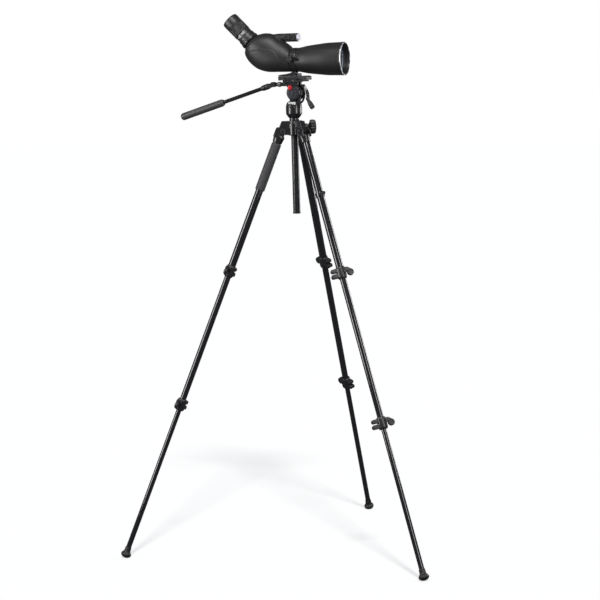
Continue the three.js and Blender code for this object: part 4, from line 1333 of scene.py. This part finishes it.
# ---- Lenses ----
# The objective doublet behind the bezel, and the smaller focusing lens that slides in the
# neck. Both are coated, so they look near black with a cool shine.
objective = put(lathe(
    [(0, 144.6, 0), (20, 145.2, 8), (44, 146.5), (44, 150), (34, 152.4, 8), (18, 154.2, 8), (0, 155, 0)],
    segments=128, radius=0.4,
), ALONG_X)
piece("objective_glass", objective, scope_place, glass, "scope", "glass", "objective_lens")
corrector = put(lathe(
    [(0, -17, 0), (18, -19, 6), (28.6, -19), (28.6, -9), (24, -9), (12, -10.5, 6), (0, -11, 0)],
    segments=96, radius=0.4,
), ALONG_X)
piece("focusing_glass", corrector, scope_place, glass, "focusing_cell", "glass", "focusing_lens")


# ---- Tripod collar ----
# A moulded ring round the neck on a flared foot. Slackening its clamp screw lets the scope
# turn about its own axis.
collar_gloss = finish(
    "collar_gloss", (0.012, 0.012, 0.013), 0.26, coat=0.2, grain=1400, depth=0.02,
    worn=(0.12, 0.12, 0.12), wear=0.3, dust=0.05,
)
SCOPE_UP = 185.4
drop = PLATE_TOP - SCOPE_UP + 0.3
SCREW_X, SCREW_UP = 5, 3


def collar_solid():
    ring = put(lathe(
        [(0, -5), (35.6, -5), (37, -3), (37, COLLAR_FRONT - 2), (35.6, COLLAR_FRONT), (0, COLLAR_FRONT)],
        segments=144, radius=0.8,
    ), ALONG_X)
    foot = slab(
        [(-48, drop), (10, drop), (8, drop + 6, 3), (-6, drop + 10, 4), (-20, drop + 6.5, 8),
         (-48, drop + 3.5, 1)],
        -15, 15, bevel=1,
    )
    post = slab([(-11, drop + 2), (8.5, drop + 2), (8, -38), (8, -31), (-5, -31), (-7, -40, 3)], -12, 12)
    boss = put(rod(9, 30, 43, 64), ALONG_Y, HALF_TURN, at=(SCREW_X, 0, SCREW_UP))
    cuts = [
        put(rod(NECK + 0.4, -8, COLLAR_FRONT + 4, 144), ALONG_X),
        put(rod(3.4, drop - 2, drop + 9), at=(PLATE_SCREW_X, 0, 0)),
        put(rod(3.3, 30, 50), ALONG_Y, HALF_TURN, at=(SCREW_X, 0, SCREW_UP)),
    ]
    return cast([ring, foot, post, boss], cuts, voxel=0.75)


piece("tripod_collar", collar_solid(), scope_place, collar_gloss, "plate", "moulding", "collar")
knob_seat = seat(pivot("scope_turn") + Vector((SCREW_X, 0, SCREW_UP)) * MM, (0, -1, 0), (1, 0, 0))
collar_knob = fluted(
    [(0, 35.5), (3, 35.5), (3, 43.3), (8, 43.3), (9.5, 46), (9.5, 55.3), (8, 57.3), (5, 57.3), (4.6, 56.6),
     (4.2, 57.3), (0, 57.3)], 16, 0.7, 44, 56.5, 7.5, nylon, radius=0.4,
)
piece("collar_clamp_knob", collar_knob, knob_seat, nylon, "collar_screw", "moulding", "collar_screw")


# ---- Focus drive ----
# Two ribbed rubber rings on one shaft, coarse behind and fine in front, that end in a
# smooth anodised cap with a lilac cast.
focus_place = seat(pivot("scope_turn") + Vector((FOCUS_START, 0, FOCUS_UP)) * MM, (1, 0, 0))
coarse = fluted(
    [(4.3, 0.3), (13, 0.3), (13, 17.3), (4.3, 17.3)], 40, 0.7, 2, 15.5, 11, rubber, ring=True, radius=0.5,
)
piece("coarse_ring", coarse, focus_place, rubber, "coarse_focus", "rubber", "coarse_focus_ring")
fine = fluted(
    [(0, -22), (4, -22), (4, 17.9), (12.2, 17.9), (12.2, 19), (13, 19.6), (13, 41), (0, 41)],
    40, 0.7, 19, 39, 11, rubber, radius=0.5,
)
piece("fine_knob", fine, focus_place, rubber, "fine_focus", "rubber", "fine_focus_knob")
lilac = finish(
    "lilac_anodise", (0.5, 0.48, 0.55), 0.38, metallic=0.3, grain=2400, depth=0.006, worn=(0.7, 0.7, 0.72),
    wear=0.3, dust=0.03, drift=0.08,
)
end_cap = lathe(
    [(0, 40.8), (12.4, 40.8), (12.6, 44), (11.9, 45.1), (10.6, 45.6), (0, 45.6)], segments=96, radius=0.8,
)
piece("focus_end_cap", end_cap, focus_place, lilac, "fine_focus", "cap")


# ---- Eyepiece ----
# Stepped mount rings screw into the body. The smooth upper tube carries a grey scale band
# without any figures, and three small screws hold the rings.
eyepiece_black = finish(
    "eyepiece_black", (0.014, 0.014, 0.015), 0.42, grain=1300, depth=0.008,
    worn=(0.08, 0.08, 0.08), wear=0.25, dust=0.02,
)
eye_tube = lathe(
    [(21.3, -16), (21.3, 0.3), (29.4, 0.3), (29.4, 8.4), (28.6, 9.6), (27.4, 10.4), (27.2, 21), (26.4, 22.4),
     (25.4, 24), (25.4, 37.6), (20, 37.8), (20, 84), (12.4, 84), (12.4, 74), (17, 70), (17, -16)],
    segments=128, radius=0.5, ring=True,
)
piece("eyepiece_tube", eye_tube, eye_place, eyepiece_black, "scope", "moulding", "eyepiece_barrel")


def arc_plate(radius, low, high, start, end, thick=0.35):
    """A thin plate wrapped on a tube between two heights and two angles in degrees."""
    bm = bmesh.new()
    steps = 24
    corners = [(radius, low), (radius + thick, low), (radius + thick, high), (radius, high)]
    rows = []
    for k in range(steps + 1):
        a = math.radians(start + (end - start) * k / steps)
        rows.append([bm.verts.new((r * math.cos(a), r * math.sin(a), z)) for r, z in corners])
    skinned(bm, rows)
    bmesh.ops.recalc_face_normals(bm, faces=bm.faces)
    return bm


SCALE_RADIUS = 25.3
SCALE_LOW, SCALE_HIGH = 27.5, 34.5
scale_band = joined(*[
    arc_plate(SCALE_RADIUS, SCALE_LOW, SCALE_HIGH, start, end) for start, end in ((-128, -96), (-88, -62))
])
piece("scale_band", scale_band, eye_place, spigot_grey, "scope", "silver")
ribs = fluted(
    [(20.3, 38.3), (26.8, 38.3), (26.8, 70), (20.3, 70)], 44, 0.9, 41, 67.5, 24, rubber,
    ring=True, radius=0.8,
)
piece("zoom_rib_ring", ribs, eye_place, rubber, "zoom", "rubber", "zoom_ring")
cup_profile = [
    (20.3, 70.6), (26.2, 70.6), (26.6, 73), (26.2, 74.2), (26.8, 75.6), (26.8, 92), (26, 96.4), (24, 98),
    (21, 98), (17, 93), (14.4, 86), (20.3, 85),
]
eyecup = lathe(cup_profile, segments=128, radius=0.8, ring=True)
piece("rubber_eyecup", eyecup, eye_place, eyepiece_black, "eyecup", "rubber", "eyecup")
eye_glass = lathe([(0, 75, 0), (12.1, 76), (12.1, 79), (6, 80.8, 3), (0, 81.5, 0)], segments=72, radius=0.3)
piece("eye_glass", eye_glass, eye_place, glass, "scope", "glass", "eye_lens")


def row_tree():
    """Sets Count screws on a circle of Radius at a Height, from the angle Start on, Step apart."""
    tree = geometry_tree("screw_row", ["Copy", "Count", "Radius", "Height", "Start", "Step", "Finish"])
    given = tree.nodes.new("NodeGroupInput").outputs
    line = tree.nodes.new("GeometryNodeMeshLine")
    tree.links.new(given["Count"], line.inputs["Count"])
    index = tree.nodes.new("GeometryNodeInputIndex").outputs[0]
    angle = number_node(tree, "ADD", number_node(tree, "MULTIPLY", index, given["Step"]), given["Start"])
    spot = tree.nodes.new("ShaderNodeCombineXYZ")
    for socket, ratio in zip(spot.inputs, ("COSINE", "SINE")):
        away = number_node(tree, "MULTIPLY", number_node(tree, ratio, angle), given["Radius"])
        tree.links.new(away, socket)
    tree.links.new(given["Height"], spot.inputs[2])
    placed = tree.nodes.new("GeometryNodeSetPosition")
    tree.links.new(line.outputs["Mesh"], placed.inputs["Geometry"])
    tree.links.new(spot.outputs[0], placed.inputs["Position"])
    turned = tree.nodes.new("ShaderNodeCombineXYZ")
    tree.links.new(angle, turned.inputs[2])
    source = tree.nodes.new("GeometryNodeObjectInfo")
    tree.links.new(given["Copy"], source.inputs["Object"])
    copies = tree.nodes.new("GeometryNodeInstanceOnPoints")
    tree.links.new(placed.outputs["Geometry"], copies.inputs["Points"])
    tree.links.new(source.outputs["Geometry"], copies.inputs["Instance"])
    tree.links.new(turned.outputs[0], copies.inputs["Rotation"])
    finish_tree(tree, copies.outputs["Instances"], given["Finish"])
    return tree


screw_head = loose_object(put(lathe(
    [(0, -1), (1.7, -1), (1.7, 0.1), (1.3, 0.45), (0.5, 0.5), (0.4, 0.2), (0, 0.2)], segments=24, radius=0.1,
), ALONG_X), "screw_head")
ring_values = {
    "Copy": screw_head, "Count": 3, "Radius": 29.35, "Height": 4.6, "Start": math.radians(-98),
    "Step": math.radians(120), "Finish": spigot_grey,
}
ring_screws = run_tree(bmesh.new(), row_tree(), ring_values)
bpy.data.objects.remove(screw_head)
piece("mount_ring_screws", ring_screws, eye_place, spigot_grey, "scope", "steel")
